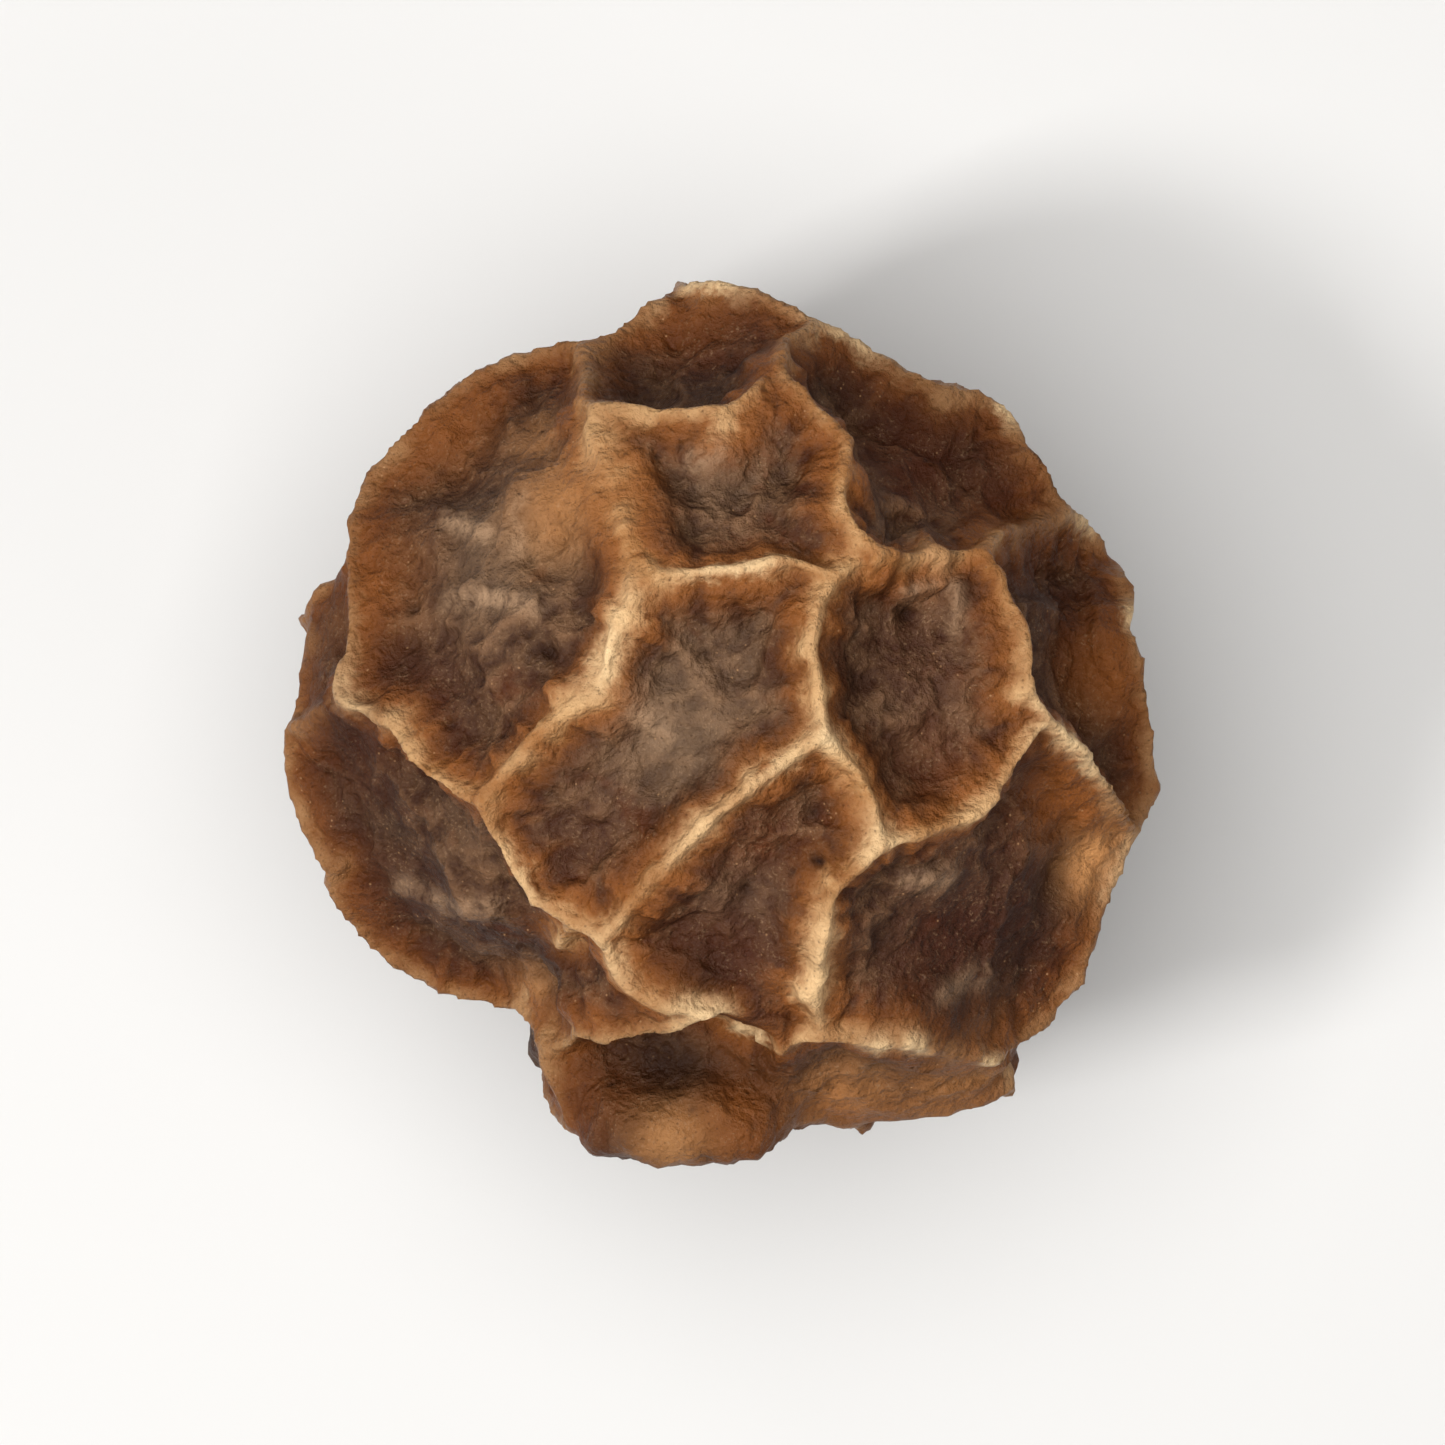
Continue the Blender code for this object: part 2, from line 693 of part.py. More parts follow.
def raise_collar(points):
    """Lifts the stalk scar's lip round its hollow: a smooth push that fades away from the lip's line."""
    start, end = (np.array(p) for p in COLLAR_LINE)
    line = end - start
    along = np.clip((points - start) @ line / (line @ line), 0, 1)
    apart = np.linalg.norm(start + along[:, None] * line - points, axis=1)
    share = np.exp(-((apart / COLLAR_REACH) ** 2))
    return points + share[:, None] * np.array(COLLAR_LIFT)


def skin_material():
    """Dark brown, dull, dried skin."""
    material = bpy.data.materials.new("peppercorn_skin")
    material.use_nodes = True
    shader = material.node_tree.nodes["Principled BSDF"]
    shader.inputs["Base Color"].default_value = (0.105, 0.062, 0.040, 1)
    shader.inputs["Roughness"].default_value = 0.55
    shader.inputs["Metallic"].default_value = 0.0
    return material


def make_peppercorn():
    body = grow_skin()
    points = raise_collar(np.array(body.points))
    points[:, :2] -= (points[:, :2].max(0) + points[:, :2].min(0)) / 2
    points[:, 2] += MIDDLE_HEIGHT
    mesh = bpy.data.meshes.new("peppercorn")
    mesh.from_pydata((points * MILLIMETRE).tolist(), [], body.triangles)
    mesh.update()
    mesh.shade_smooth()
    mesh.materials.append(skin_material())
    peppercorn = bpy.data.objects.new("peppercorn", mesh)
    bpy.context.scene.collection.objects.link(peppercorn)
    return peppercorn


for old in list(bpy.data.objects):
    bpy.data.objects.remove(old)
make_peppercorn()
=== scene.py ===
# %% [markdown]
# # Dressing a black peppercorn
# A black peppercorn is a berry that was picked green and dried. Its thin flesh shrank onto the round seed
# and was left standing in a net of pinched folds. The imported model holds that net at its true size, and this
# lesson gives it its fine skin: sharper folds, creases, pits and the colours of the dried flesh.

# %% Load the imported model
import math
import random

import bmesh
import bpy
import numpy as np
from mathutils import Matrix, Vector, kdtree, noise


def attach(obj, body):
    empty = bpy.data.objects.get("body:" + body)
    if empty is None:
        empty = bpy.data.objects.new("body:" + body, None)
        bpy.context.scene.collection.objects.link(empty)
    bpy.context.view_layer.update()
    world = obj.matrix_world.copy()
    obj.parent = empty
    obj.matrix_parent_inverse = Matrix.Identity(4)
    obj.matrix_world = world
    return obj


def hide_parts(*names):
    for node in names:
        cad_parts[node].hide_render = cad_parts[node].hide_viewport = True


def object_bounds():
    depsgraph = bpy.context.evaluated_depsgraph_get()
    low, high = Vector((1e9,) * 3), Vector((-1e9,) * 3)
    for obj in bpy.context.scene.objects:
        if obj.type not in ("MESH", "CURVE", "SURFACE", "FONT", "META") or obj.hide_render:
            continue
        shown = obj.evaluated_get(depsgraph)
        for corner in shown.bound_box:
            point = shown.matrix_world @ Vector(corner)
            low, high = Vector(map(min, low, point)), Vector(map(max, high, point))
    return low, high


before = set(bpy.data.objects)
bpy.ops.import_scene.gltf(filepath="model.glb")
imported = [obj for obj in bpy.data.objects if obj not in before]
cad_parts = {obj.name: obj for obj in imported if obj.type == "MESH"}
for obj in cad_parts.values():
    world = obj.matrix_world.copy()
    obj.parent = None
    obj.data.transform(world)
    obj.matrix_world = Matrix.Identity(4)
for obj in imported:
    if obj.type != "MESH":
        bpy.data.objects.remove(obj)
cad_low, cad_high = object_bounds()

MM = 0.001  # metres in a millimetre
cad_size = (cad_high - cad_low) / MM
print("the model measures", [round(side, 2) for side in cad_size], "mm")

# %% [markdown]
# ## The camera
# The picture that this berry is matched to was taken from straight above with a long lens, so near and far
# parts of the berry show at nearly one scale. A camera with no rotation already looks straight down in
# Blender, with +Y up in the picture. It stands far off with a lens of 250 mm, and its near clipping distance
# has to be small, because the whole berry is only five millimetres across.

# %% Hang the camera over the berry
LENS = 250.0  # mm
SENSOR = 36.0  # mm
FRAME_WIDTH = 8.6  # mm of the scene that the picture takes in
NEAREST_SEEN = 1 * MM
FARTHEST_SEEN = 10.0  # metres
camera_data = bpy.data.cameras.new("camera_above")
camera_data.lens = LENS
camera_data.sensor_width = SENSOR
camera_data.clip_start = NEAREST_SEEN
camera_data.clip_end = FARTHEST_SEEN
camera = bpy.data.objects.new("camera_above", camera_data)
bpy.context.scene.collection.objects.link(camera)
camera.location = (0, 0, cad_high.z + FRAME_WIDTH * LENS / SENSOR * MM)
bpy.context.scene.camera = camera
print("the camera hangs", round(camera.location.z / MM, 1), "mm above the floor")

# %% [markdown]
# ## The floor and the light
# The light in the picture is soft and comes from above, with hardly a shadow: what faces up has a grey
# sheen, and what faces sideways is dark and warm. A wide softbox hangs above, a smaller one gives the
# crests their glints, and a dim sky fills in from all round. The floor is a plain pale sheet. The colours
# are shown with the Standard transform, which keeps a brown as it is mixed.

# %% Lay the floor
FLOOR_SIDE = 1.2  # metres
FLOOR_COLOUR = (0.68, 0.67, 0.655, 1)
FLOOR_ROUGHNESS = 0.85
bpy.ops.object.select_all(action="DESELECT")
bpy.ops.mesh.primitive_plane_add(size=FLOOR_SIDE, location=(0, 0, 0))
floor = bpy.context.object
floor.name = "floor"
floor_paint = bpy.data.materials.new("pale_floor")
floor_paint.use_nodes = True
floor_shader = floor_paint.node_tree.nodes["Principled BSDF"]
floor_shader.inputs["Base Color"].default_value = FLOOR_COLOUR
floor_shader.inputs["Roughness"].default_value = FLOOR_ROUGHNESS
floor.data.materials.append(floor_paint)
print("the floor is", FLOOR_SIDE, "m wide")

# %% Set the lights
SKY_COLOUR = (1.0, 0.98, 0.95, 1)
SKY_STRENGTH = 0.09
SOFTBOXES = (  # name, place in mm, side in mm and power in watts
    ("wide_softbox", (-15, 5, 150), 150, 0.252),
    ("glint_softbox", (-75, -25, 95), 24, 0.082),
    ("far_softbox", (90, -60, 70), 60, 0.018),
)
scene = bpy.context.scene
scene.view_settings.view_transform = "Standard"
scene.view_settings.look = "None"
sky = scene.world or bpy.data.worlds.new("sky")
scene.world = sky
sky.use_nodes = True
sky.node_tree.nodes["Background"].inputs["Color"].default_value = SKY_COLOUR
sky.node_tree.nodes["Background"].inputs["Strength"].default_value = SKY_STRENGTH


def softbox(name, place, side, power):
    """A square area light, at a place in millimetres, turned to the berry."""
    data = bpy.data.lights.new(name, "AREA")
    data.shape = "SQUARE"
    data.size = side * MM
    data.energy = power
    lamp = bpy.data.objects.new(name, data)
    scene.collection.objects.link(lamp)
    lamp.location = Vector(place) * MM
    aim = Vector((0, 0, cad_high.z / 2)) - lamp.location
    lamp.rotation_euler = aim.to_track_quat("-Z", "Y").to_euler()
    return lamp


lamps = [softbox(*box) for box in SOFTBOXES]
print("lamps:", [lamp.name for lamp in lamps])

# %% [markdown]
# ## A copy to work on
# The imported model's surface is about ten thousand flat triangles, each with corners of its own. In a copy
# the corners that lie together are merged. Merging and remeshing work with distances that suit scenes of
# metres, so the copy is worked on in millimetres and is brought back to metres at the very end.

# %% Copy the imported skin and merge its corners
MERGE_DISTANCE = 0.002  # mm


def work_on(piece):
    """Makes one object the only selected one and the active one."""
    bpy.ops.object.select_all(action="DESELECT")
    piece.select_set(True)
    bpy.context.view_layer.objects.active = piece


def finish_modifier(piece, kind, **settings):
    """Adds a modifier with these settings and applies it."""
    work_on(piece)
    bpy.ops.object.modifier_add(type=kind)
    modifier = piece.modifiers[-1]
    for name, value in settings.items():
        setattr(modifier, name, value)
    bpy.ops.object.modifier_apply(modifier=modifier.name)


def duplicate(piece, name):
    """A copy of an object with a mesh of its own."""
    work_on(piece)
    bpy.ops.object.duplicate()
    copy = bpy.context.object
    copy.name = name
    return copy


cad_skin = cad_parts["peppercorn"]
coarse = bpy.data.objects.new("coarse", cad_skin.data.copy())
scene.collection.objects.link(coarse)
coarse.data.materials.clear()
coarse.scale = (1 / MM, 1 / MM, 1 / MM)
work_on(coarse)
bpy.ops.object.transform_apply(location=False, rotation=False, scale=True)
bpy.ops.object.mode_set(mode="EDIT")
bpy.ops.mesh.select_all(action="SELECT")
bpy.ops.mesh.remove_doubles(threshold=MERGE_DISTANCE)
bpy.ops.object.mode_set(mode="OBJECT")
print("merged corners:", len(coarse.data.vertices))

# %% [markdown]
# ## Where the folds run
# Everything that follows needs to know, for each point of the skin, how far it is to the nearest fold and
# how strong that fold is. So the crests of the folds are looked for on the merged copy. Its points are
# evened out again and again until the folds are gone, and the height of each point over that evened skin
# tells crest from floor. An edge lies on a crest where it is nearly level and the ground falls on both of
# its sides. Edges that make a long chain are kept, and lone ones are dropped.

# %% Helpers that read, write and even out a mesh
def read(mesh, what):
    """One row of three numbers for each point of a mesh: its place, co, or its normal."""
    rows = np.empty(len(mesh.vertices) * 3)
    mesh.vertices.foreach_get(what, rows)
    return rows.reshape(-1, 3)


def write(mesh, places):
    """Puts the points of a mesh at these places."""
    mesh.vertices.foreach_set("co", places.ravel())
    mesh.update()


def edge_rows(mesh):
    """The two points of each edge of a mesh."""
    rows = np.empty(len(mesh.edges) * 2, int)
    mesh.edges.foreach_get("vertices", rows)
    return rows.reshape(-1, 2)


def spread(values, edges, rounds):
    """Averages the numbers at a mesh's points along its edges, again and again, keeping half each time."""
    counts = np.bincount(edges.ravel(), minlength=len(values))
    one, other = edges.T
    columns = values.reshape(len(values), -1).T
    for _ in range(rounds):
        near = [np.bincount(one, c[other], len(c)) + np.bincount(other, c[one], len(c)) for c in columns]
        columns = 0.5 * columns + 0.5 * np.array(near) / counts
    return columns.T.reshape(values.shape)


def tree_of(places):
    """A search tree over these places."""
    tree = kdtree.KDTree(len(places))
    for index, place in enumerate(places):
        tree.insert(place, index)
    tree.balance()
    return tree


print("helpers for meshes are ready")

# %% Find the crest edges
EVENING_ROUNDS = 24
LEAST_FALL, LARGER_FALL = 0.003, 0.012  # mm, on the two sides of a crest's edge
STEEPEST = 0.45  # rise over length of a crest's edge
coarse_points, coarse_edges = read(coarse.data, "co"), edge_rows(coarse.data)
evened = spread(coarse_points, coarse_edges, EVENING_ROUNDS)
outwards = spread(read(coarse.data, "normal"), coarse_edges, EVENING_ROUNDS)
outwards /= np.linalg.norm(outwards, axis=1)[:, None]
heights = ((coarse_points - evened) * outwards).sum(axis=1)


def crest_edges(mesh):
    """The numbers of the edges that lie on a crest, and how far the ground falls beside each."""
    net = bmesh.new()
    net.from_mesh(mesh)
    found = []
    for edge in net.edges:
        one, other = (v.index for v in edge.verts)
        sides = [v.index for face in edge.link_faces for v in face.verts if v not in edge.verts]
        falls = (heights[one] + heights[other]) / 2 - heights[sides]
        level = abs(heights[one] - heights[other]) < STEEPEST * edge.calc_length()
        if level and falls.min() > LEAST_FALL and falls.max() > LARGER_FALL:
            found.append((edge.index, falls.mean()))
    net.free()
    numbers, falls = zip(*found)
    return np.array(numbers), np.array(falls)


crest_numbers, crest_falls = crest_edges(coarse.data)
print("edges on crests:", len(crest_numbers))

# %% Keep the long chains
LEAST_CHAIN = 0.050  # square mm, the length of a chain of edges times the fall beside it


def chain_sizes(places, edges, falls):
    """For each edge, the length times the fall of the whole chain of edges that it belongs to."""
    chain = np.arange(len(places))
    before = None
    while before is None or (chain != before).any():
        before = chain.copy()
        lowest = chain[edges].min(axis=1)
        np.minimum.at(chain, edges[:, 0], lowest)
        np.minimum.at(chain, edges[:, 1], lowest)
    lengths = np.linalg.norm(places[edges[:, 0]] - places[edges[:, 1]], axis=1)
    own_chain = chain[edges[:, 0]]
    return np.bincount(own_chain, lengths * falls, len(places))[own_chain]


crest_rows = coarse_edges[crest_numbers]
kept = chain_sizes(coarse_points, crest_rows, crest_falls) > LEAST_CHAIN
crest_rows, crest_falls = crest_rows[kept], crest_falls[kept]
print("edges in long chains:", len(crest_rows))

# %% [markdown]
# ## A smooth guide and the fine mesh
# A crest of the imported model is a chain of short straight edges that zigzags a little. Its points are
# averaged along the chain, and Subdivision Surface then makes a smooth guide of the whole. The fine skin
# wants faces of one size all over, small enough to carry creases. A voxel remesh gives such squares, and
# Shrinkwrap lays them onto the guide, which takes away the remesh's stair steps.

# %% Even the crests out and smooth the whole
CREST_EVENING = 2  # rounds
GUIDE_LEVELS = 2
crest_ids, crest_links = np.unique(crest_rows, return_inverse=True)
crest_links = crest_links.reshape(-1, 2)
evened_crest = spread(coarse_points[crest_ids], crest_links, CREST_EVENING)
inside_chain = np.bincount(crest_links.ravel()) > 1
coarse_points[crest_ids[inside_chain]] = evened_crest[inside_chain]
write(coarse.data, coarse_points)
guide = duplicate(coarse, "guide")
finish_modifier(guide, "SUBSURF", levels=GUIDE_LEVELS, render_levels=GUIDE_LEVELS)
print("guide points:", len(guide.data.vertices))

# %% Remesh the guide into even squares
FINE_SIDE = 0.0383  # mm, the side of a square
skin = duplicate(guide, "peppercorn_skin")
finish_modifier(skin, "REMESH", mode="VOXEL", voxel_size=FINE_SIDE, use_smooth_shade=True)
finish_modifier(skin, "SHRINKWRAP", target=guide, wrap_method="NEAREST_SURFACEPOINT")
print("fine squares:", len(skin.data.polygons))

# %% [markdown]
# ## The folds that show from above
# Some folds are so broad and low that no edge of theirs passes as a crest, and some lumps of a floor do. So
# the net that shows from above is also written down, as lines through a few places of the picture.
# In the middle of the upper side, only crests near such a line count, and the line fills every gap.

# %% Draw the net of the upper side
PICTURE_MIDDLE = np.array([0.015, 0.090])  # mm, where the picture's middle lies in the model
UPPER_FOLDS = (  # places along each fold, in mm from the picture's middle
    ((-0.86, 2.24), (-0.80, 2.05), (-0.75, 1.83)),
    ((-0.75, 1.83), (-0.10, 1.84), (0.15, 1.93), (0.35, 2.15)),
    ((0.35, 2.15), (0.35, 2.00), (0.50, 1.88), (0.75, 1.58), (0.65, 1.20), (0.84, 1.00)),
    ((-0.75, 1.83), (-0.72, 1.65), (-0.62, 1.15), (-0.50, 0.80)),
    ((-0.50, 0.80), (-0.35, 0.83), (0.00, 0.84), (0.42, 0.92), (0.62, 0.87)),
    ((0.62, 0.87), (0.84, 1.00)),
    ((-0.50, 0.80), (-0.70, 0.38), (-0.78, 0.18), (-1.05, -0.05), (-1.32, -0.38), (-1.45, -0.60)),
    ((0.62, 0.87), (0.50, 0.52), (0.52, 0.32), (0.60, -0.15)),
    ((0.60, -0.15), (0.30, -0.36), (0.08, -0.52), (-0.28, -0.82), (-0.50, -1.12), (-0.71, -1.39)),
    ((-1.45, -0.60), (-1.28, -0.88), (-1.10, -1.15), (-0.87, -1.30)),
    ((-0.87, -1.30), (-0.71, -1.39)),
    ((0.60, -0.15), (0.82, -0.36), (0.92, -0.55), (0.95, -0.82)),
    ((0.95, -0.82), (1.12, -0.80), (1.45, -0.66), (1.72, -0.44), (2.00, -0.08)),
    ((1.60, 0.95), (1.70, 0.72), (1.82, 0.42), (1.86, 0.12), (2.00, -0.08)),
    ((0.84, 1.00), (1.15, 0.96), (1.38, 1.00), (1.60, 0.95)),
    ((1.60, 0.95), (1.80, 1.12), (2.13, 1.17)),
    ((0.95, -0.82), (0.85, -0.92), (0.66, -1.10), (0.56, -1.42), (0.54, -1.75), (0.60, -2.05)),
    ((-0.71, -1.39), (-0.70, -1.60), (-0.56, -1.75), (-0.32, -1.81), (-0.02, -1.91)),
    ((-0.92, -2.04), (-0.50, -2.05), (-0.25, -1.99), (-0.02, -1.91)),
    ((-0.02, -1.91), (0.20, -2.00), (0.36, -2.13)),
    ((0.36, -2.13), (0.60, -2.05)),
    ((-2.40, 0.03), (-2.20, 0.00), (-2.05, -0.08), (-1.90, -0.28), (-1.78, -0.45), (-1.45, -0.60)),
    ((2.00, -0.08), (2.17, -0.25), (2.38, -0.54)),
    ((0.60, -2.05), (0.95, -2.06), (1.15, -2.05), (1.38, -2.15), (1.65, -2.20)),
    ((0.35, 2.15), (0.57, 2.36)),
)
UPPER_REACH = 2.15  # mm from the middle, as far as the lines count
NEAR_LINE = 0.15  # mm
FILLED_GAP = 0.10  # mm
CLOSENESS = 0.25  # mm of height that a mm of distance counts for
LINE_STEPS = 8
OVER_ALL = 9.0  # mm, a height over every part of the berry


def from_above(x, y):
    """The point of the smooth guide that is seen at this place of the picture."""
    over = Vector((x + PICTURE_MIDDLE[0], y + PICTURE_MIDDLE[1], OVER_ALL))
    return guide.ray_cast(over, Vector((0, 0, -1)))[1]


def curve_through(stops, steps):
    """Places on a smooth Catmull-Rom curve through the stops, so many from each stop to the next."""
    stops = np.array(stops)
    padded = [2 * stops[0] - stops[1], *stops, 2 * stops[-1] - stops[-2]]
    places = []
    for before, start, end, after in zip(padded, padded[1:], padded[2:], padded[3:]):
        for t in np.linspace(0, 1, steps, endpoint=False):
            bend = 2 * before - 5 * start + 4 * end - after + t * (3 * (start - end) + after - before)
            places.append(start + 0.5 * t * (end - before + t * bend))
    return places


def flat_tree(places):
    """A search tree over these places as they lie in the picture, whatever their height."""
    return tree_of([(place[0], place[1], 0.0) for place in places])


drawn = [from_above(*place) for stops in UPPER_FOLDS for place in curve_through(stops, LINE_STEPS)]
drawn_tree = flat_tree(drawn)
print("folds drawn:", len(UPPER_FOLDS), "with", len(drawn), "places")

# %% Set points along the crests
FULL_FALL = 0.035  # mm, beside a fold of full height
LEAST_STRENGTH = 0.35
STEPS_ALONG = 5
STRENGTH_ROUNDS = 12
waist = cad_size.z / 2
crest_places, crest_strengths = [], []
for (one, other), fall in zip(crest_rows, crest_falls):
    one, other = Vector(coarse_points[one]), Vector(coarse_points[other])
    middle = one.lerp(other, 0.5)
    in_upper_middle = middle.z > waist and middle.xy.length < UPPER_REACH
    if in_upper_middle and drawn_tree.find((*middle.xy, 0.0))[2] > NEAR_LINE:
        continue
    for step in range(STEPS_ALONG):
        crest_places.append(one.lerp(other, step / STEPS_ALONG))
        crest_strengths.append(1.0 if in_upper_middle else max(LEAST_STRENGTH, min(1, fall / FULL_FALL)))
found_tree = flat_tree(crest_places)
coarse_tree = tree_of(coarse_points)


def highest_near(place):
    """The corner of the merged skin that stands highest near a place, all but the same place on a crest."""
    near = coarse_tree.find_range(place, NEAR_LINE)
    return max(near, key=lambda hit: heights[hit[1]] - hit[2] * CLOSENESS)[0] if near else place


filled = [highest_near(place) for place in drawn if found_tree.find((*place.xy, 0.0))[2] > FILLED_GAP]
crest_places += filled
crest_strengths = np.array(crest_strengths + [1.0] * len(filled))
crests = tree_of(crest_places)
print("points on crests:", len(crest_places), "of them filled in:", len(filled))

# %% Measure every point against the folds
skin_edges = edge_rows(skin.data)
points = read(skin.data, "co")
nearest = [crests.find(place) for place in points]
crest_at = np.array([hit[0] for hit in nearest])
apart = np.array([hit[2] for hit in nearest])
strength = spread(crest_strengths[[hit[1] for hit in nearest]], skin_edges, STRENGTH_ROUNDS)
print("distance to a fold, in mm: middle", round(float(np.median(apart)), 2), "most", round(apart.max(), 2))

# %% [markdown]
# ## Tools for soft changes
# Nothing on a berry starts or ends at a sharp line, so every push below is faded in and out. Two functions
# do that: a bell, which is 1 in its middle and falls to 0, and a ramp, which rises from 0 to 1. A third one
# gives smooth noise, which keeps the pushes from looking even.

# %% Make the noise, the bell and the ramp
def field(places, turns, seed=0.0):
    """Smooth noise between about -1 and 1 at these places."""
    offset = Vector((seed, 2 * seed, -seed))
    return np.array([noise.noise(Vector(place) * turns + offset) for place in places])


def bell(distance, half_width, squareness=2.0):
    """1 at distance 0, falling to 0 past the half width, with a flatter top the squarer it is."""
    return np.exp(-((np.abs(distance) / half_width) ** squareness))


def ramp(values, low, high):
    """Rises smoothly from 0 at low to 1 at high."""
    share = np.clip((values - low) / (high - low), 0, 1)
    return share * share * (3 - 2 * share)


print("a bell halfway down its side is", round(float(bell(0.5, 1.0)), 2))

# %% [markdown]
# ## The lip of the scar
# The lip of the stalk scar is rounder than its few packed faces, so its points are averaged with their
# neighbours. Nothing here or below may move the rest spot, so every push fades out towards the ground.

# %% Round the lip
GROUND_BAND = (0.02, 0.30)  # mm over the floor, where the pushes fade in
LIP_ROUNDS = 14
LIP_MIDDLE, LIP_REACH = (0.20, -2.75), (1.60, 0.42)  # mm, its place in the picture and its reach
LIP_SQUARENESS = 4.0
off_ground = ramp(points[:, 2], *GROUND_BAND)
from_lip = (points[:, :2] - PICTURE_MIDDLE - LIP_MIDDLE) / LIP_REACH
lip_share = bell(np.hypot(*from_lip.T), 1.0, LIP_SQUARENESS) * off_ground
points += (spread(points, skin_edges, LIP_ROUNDS) - points) * lip_share[:, None]
print("points on the lip:", int((lip_share > 0.5).sum()))

# %% [markdown]
# ## Folds in their places
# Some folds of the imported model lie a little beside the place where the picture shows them, so the skin
# round them is pulled sideways, by 0.14 mm at most. Then a slow push at random makes all crests stray a
# little, as nothing that dries stays in a smooth line.

# %% Pull the folds and let them stray
UPPER_BAND = 0.4  # mm over the waist, in which the pushes of the upper side fade in
PULL_SQUARENESS = 3.0
PULLS = (  # x, y, then the push along x and along y, and its reach, in mm from the picture's middle
    (0.00, -0.30, 0.000, -0.050, 1.70),
    (-1.95, -0.20, -0.060, -0.055, 0.45),
    (-1.20, -1.00, -0.110, -0.060, 0.45),
    (-0.50, -2.03, 0.000, -0.090, 0.33),
    (0.00, -1.88, -0.050, 0.000, 0.20),
    (0.73, 0.94, 0.080, -0.080, 0.28),
    (1.30, 1.00, 0.000, -0.035, 0.30),
    (1.10, -2.06, 0.000, -0.040, 0.40),
    (1.45, -0.65, 0.050, -0.025, 0.35),
    (0.60, -1.45, 0.045, 0.000, 0.40),
    (-0.15, -0.70, 0.030, 0.000, 0.50),
    (-0.95, 0.05, 0.040, 0.010, 0.40),
    (0.55, 0.38, 0.040, 0.000, 0.35),
)
STRAYING = ((2.1, 0.034), (5.5, 0.018), (11.0, 0.009))  # turns in a millimetre, and mm
AXIS_SEED = 7.0
upper = ramp(points[:, 2], waist, waist + UPPER_BAND)
before = points.copy()
for x, y, along_x, along_y, reach in PULLS:
    away = np.hypot(*(points[:, :2] - PICTURE_MIDDLE - (x, y)).T)
    points[:, :2] += np.outer(upper * bell(away, reach, PULL_SQUARENESS), (along_x, along_y))
print("folds pulled sideways by up to", round(np.linalg.norm(points - before, axis=1).max(), 2), "mm")
unmoved = read(skin.data, "co")
for turns, reach in STRAYING:
    for axis in range(3):
        points[:, axis] += reach * off_ground * field(unmoved, turns, AXIS_SEED * axis + turns)
print("rounds of straying:", len(STRAYING))

# %% [markdown]
# ## Pinched folds
# The dried flesh stands up in thin pinched folds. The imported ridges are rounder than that, because their
# faces are few. Each point is lifted along its normal by the difference between a pinched profile, which is
# a narrow peak on a wide foot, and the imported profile, which is a flat-topped bell. All the lifts are added
# up first and made in one go at the end.

# %% Pinch the folds
PACKED_HEIGHT = 0.38  # mm
PACKED_HALF_WIDTH, PACKED_SQUARENESS = 0.17, 2.2  # mm, and none
PEAK_SHARE, PEAK_HALF_WIDTH, PEAK_SQUARENESS = 0.38, 0.10, 1.4  # of the height, mm, and none
FOOT_HALF_WIDTH = 0.20  # mm
CREST_RAISE, CREST_RAISE_WIDTH = 0.045, 0.060  # mm
peak = PEAK_SHARE * bell(apart, PEAK_HALF_WIDTH, PEAK_SQUARENESS)
pinched = peak + (1 - PEAK_SHARE) * bell(apart, FOOT_HALF_WIDTH)
packed = bell(apart, PACKED_HALF_WIDTH, PACKED_SQUARENESS)
lift = PACKED_HEIGHT * (pinched - packed) + CREST_RAISE * bell(apart, CREST_RAISE_WIDTH)
lift *= strength
print("the pinch moves points by", round(lift.min(), 3), "to", round(lift.max(), 3), "mm")

# %% [markdown]
# ## Creases and knots
# Small creases run down the sides of each fold, where the skin was gathered. Each point of a side takes the
# noise of the crest above it, so the creases follow the fall of the ground by themselves. The crests carry
# knots, which are noise as well, read at three sizes.

# %% Crease the sides and knot the crests
SIDE_AT, SIDE_HALF_WIDTH = 0.15, 0.10  # mm from the crest
CREASE_DEPTH = 0.038  # mm
CREASES = ((4.6, 3.0, -2.2), (11.0, 5.0, 0.8))  # turns in a mm, seed and share
KNOT_HEIGHT, KNOT_HALF_WIDTH = 0.034, 0.10  # mm
KNOTS = ((3.4, 9.0, 1.0), (8.0, 4.0, 0.7), (15.0, 2.0, 0.4))  # turns in a mm, seed and share
(deep_turns, deep_seed, deep_share), (small_turns, small_seed, small_share) = CREASES
crease = 1 + deep_share * np.abs(field(crest_at, deep_turns, deep_seed))
crease = crease + small_share * field(crest_at, small_turns, small_seed)
knots = sum(knot_share * field(crest_at, turns, seed) for turns, seed, knot_share in KNOTS)
side = strength * bell(apart - SIDE_AT, SIDE_HALF_WIDTH)
lift += CREASE_DEPTH * crease * side + KNOT_HEIGHT * knots * strength * bell(apart, KNOT_HALF_WIDTH)
print("with creases and knots:", round(lift.min(), 3), "to", round(lift.max(), 3), "mm")

# %% [markdown]
# ## Wrinkled floors
# The floors between the folds are slightly domed, and they carry wrinkles. A wrinkle is a ridge, so it comes
# from noise that is folded over at zero and sharpened. The places are bent by another noise before it is
# read, which keeps the wrinkles from looking even.

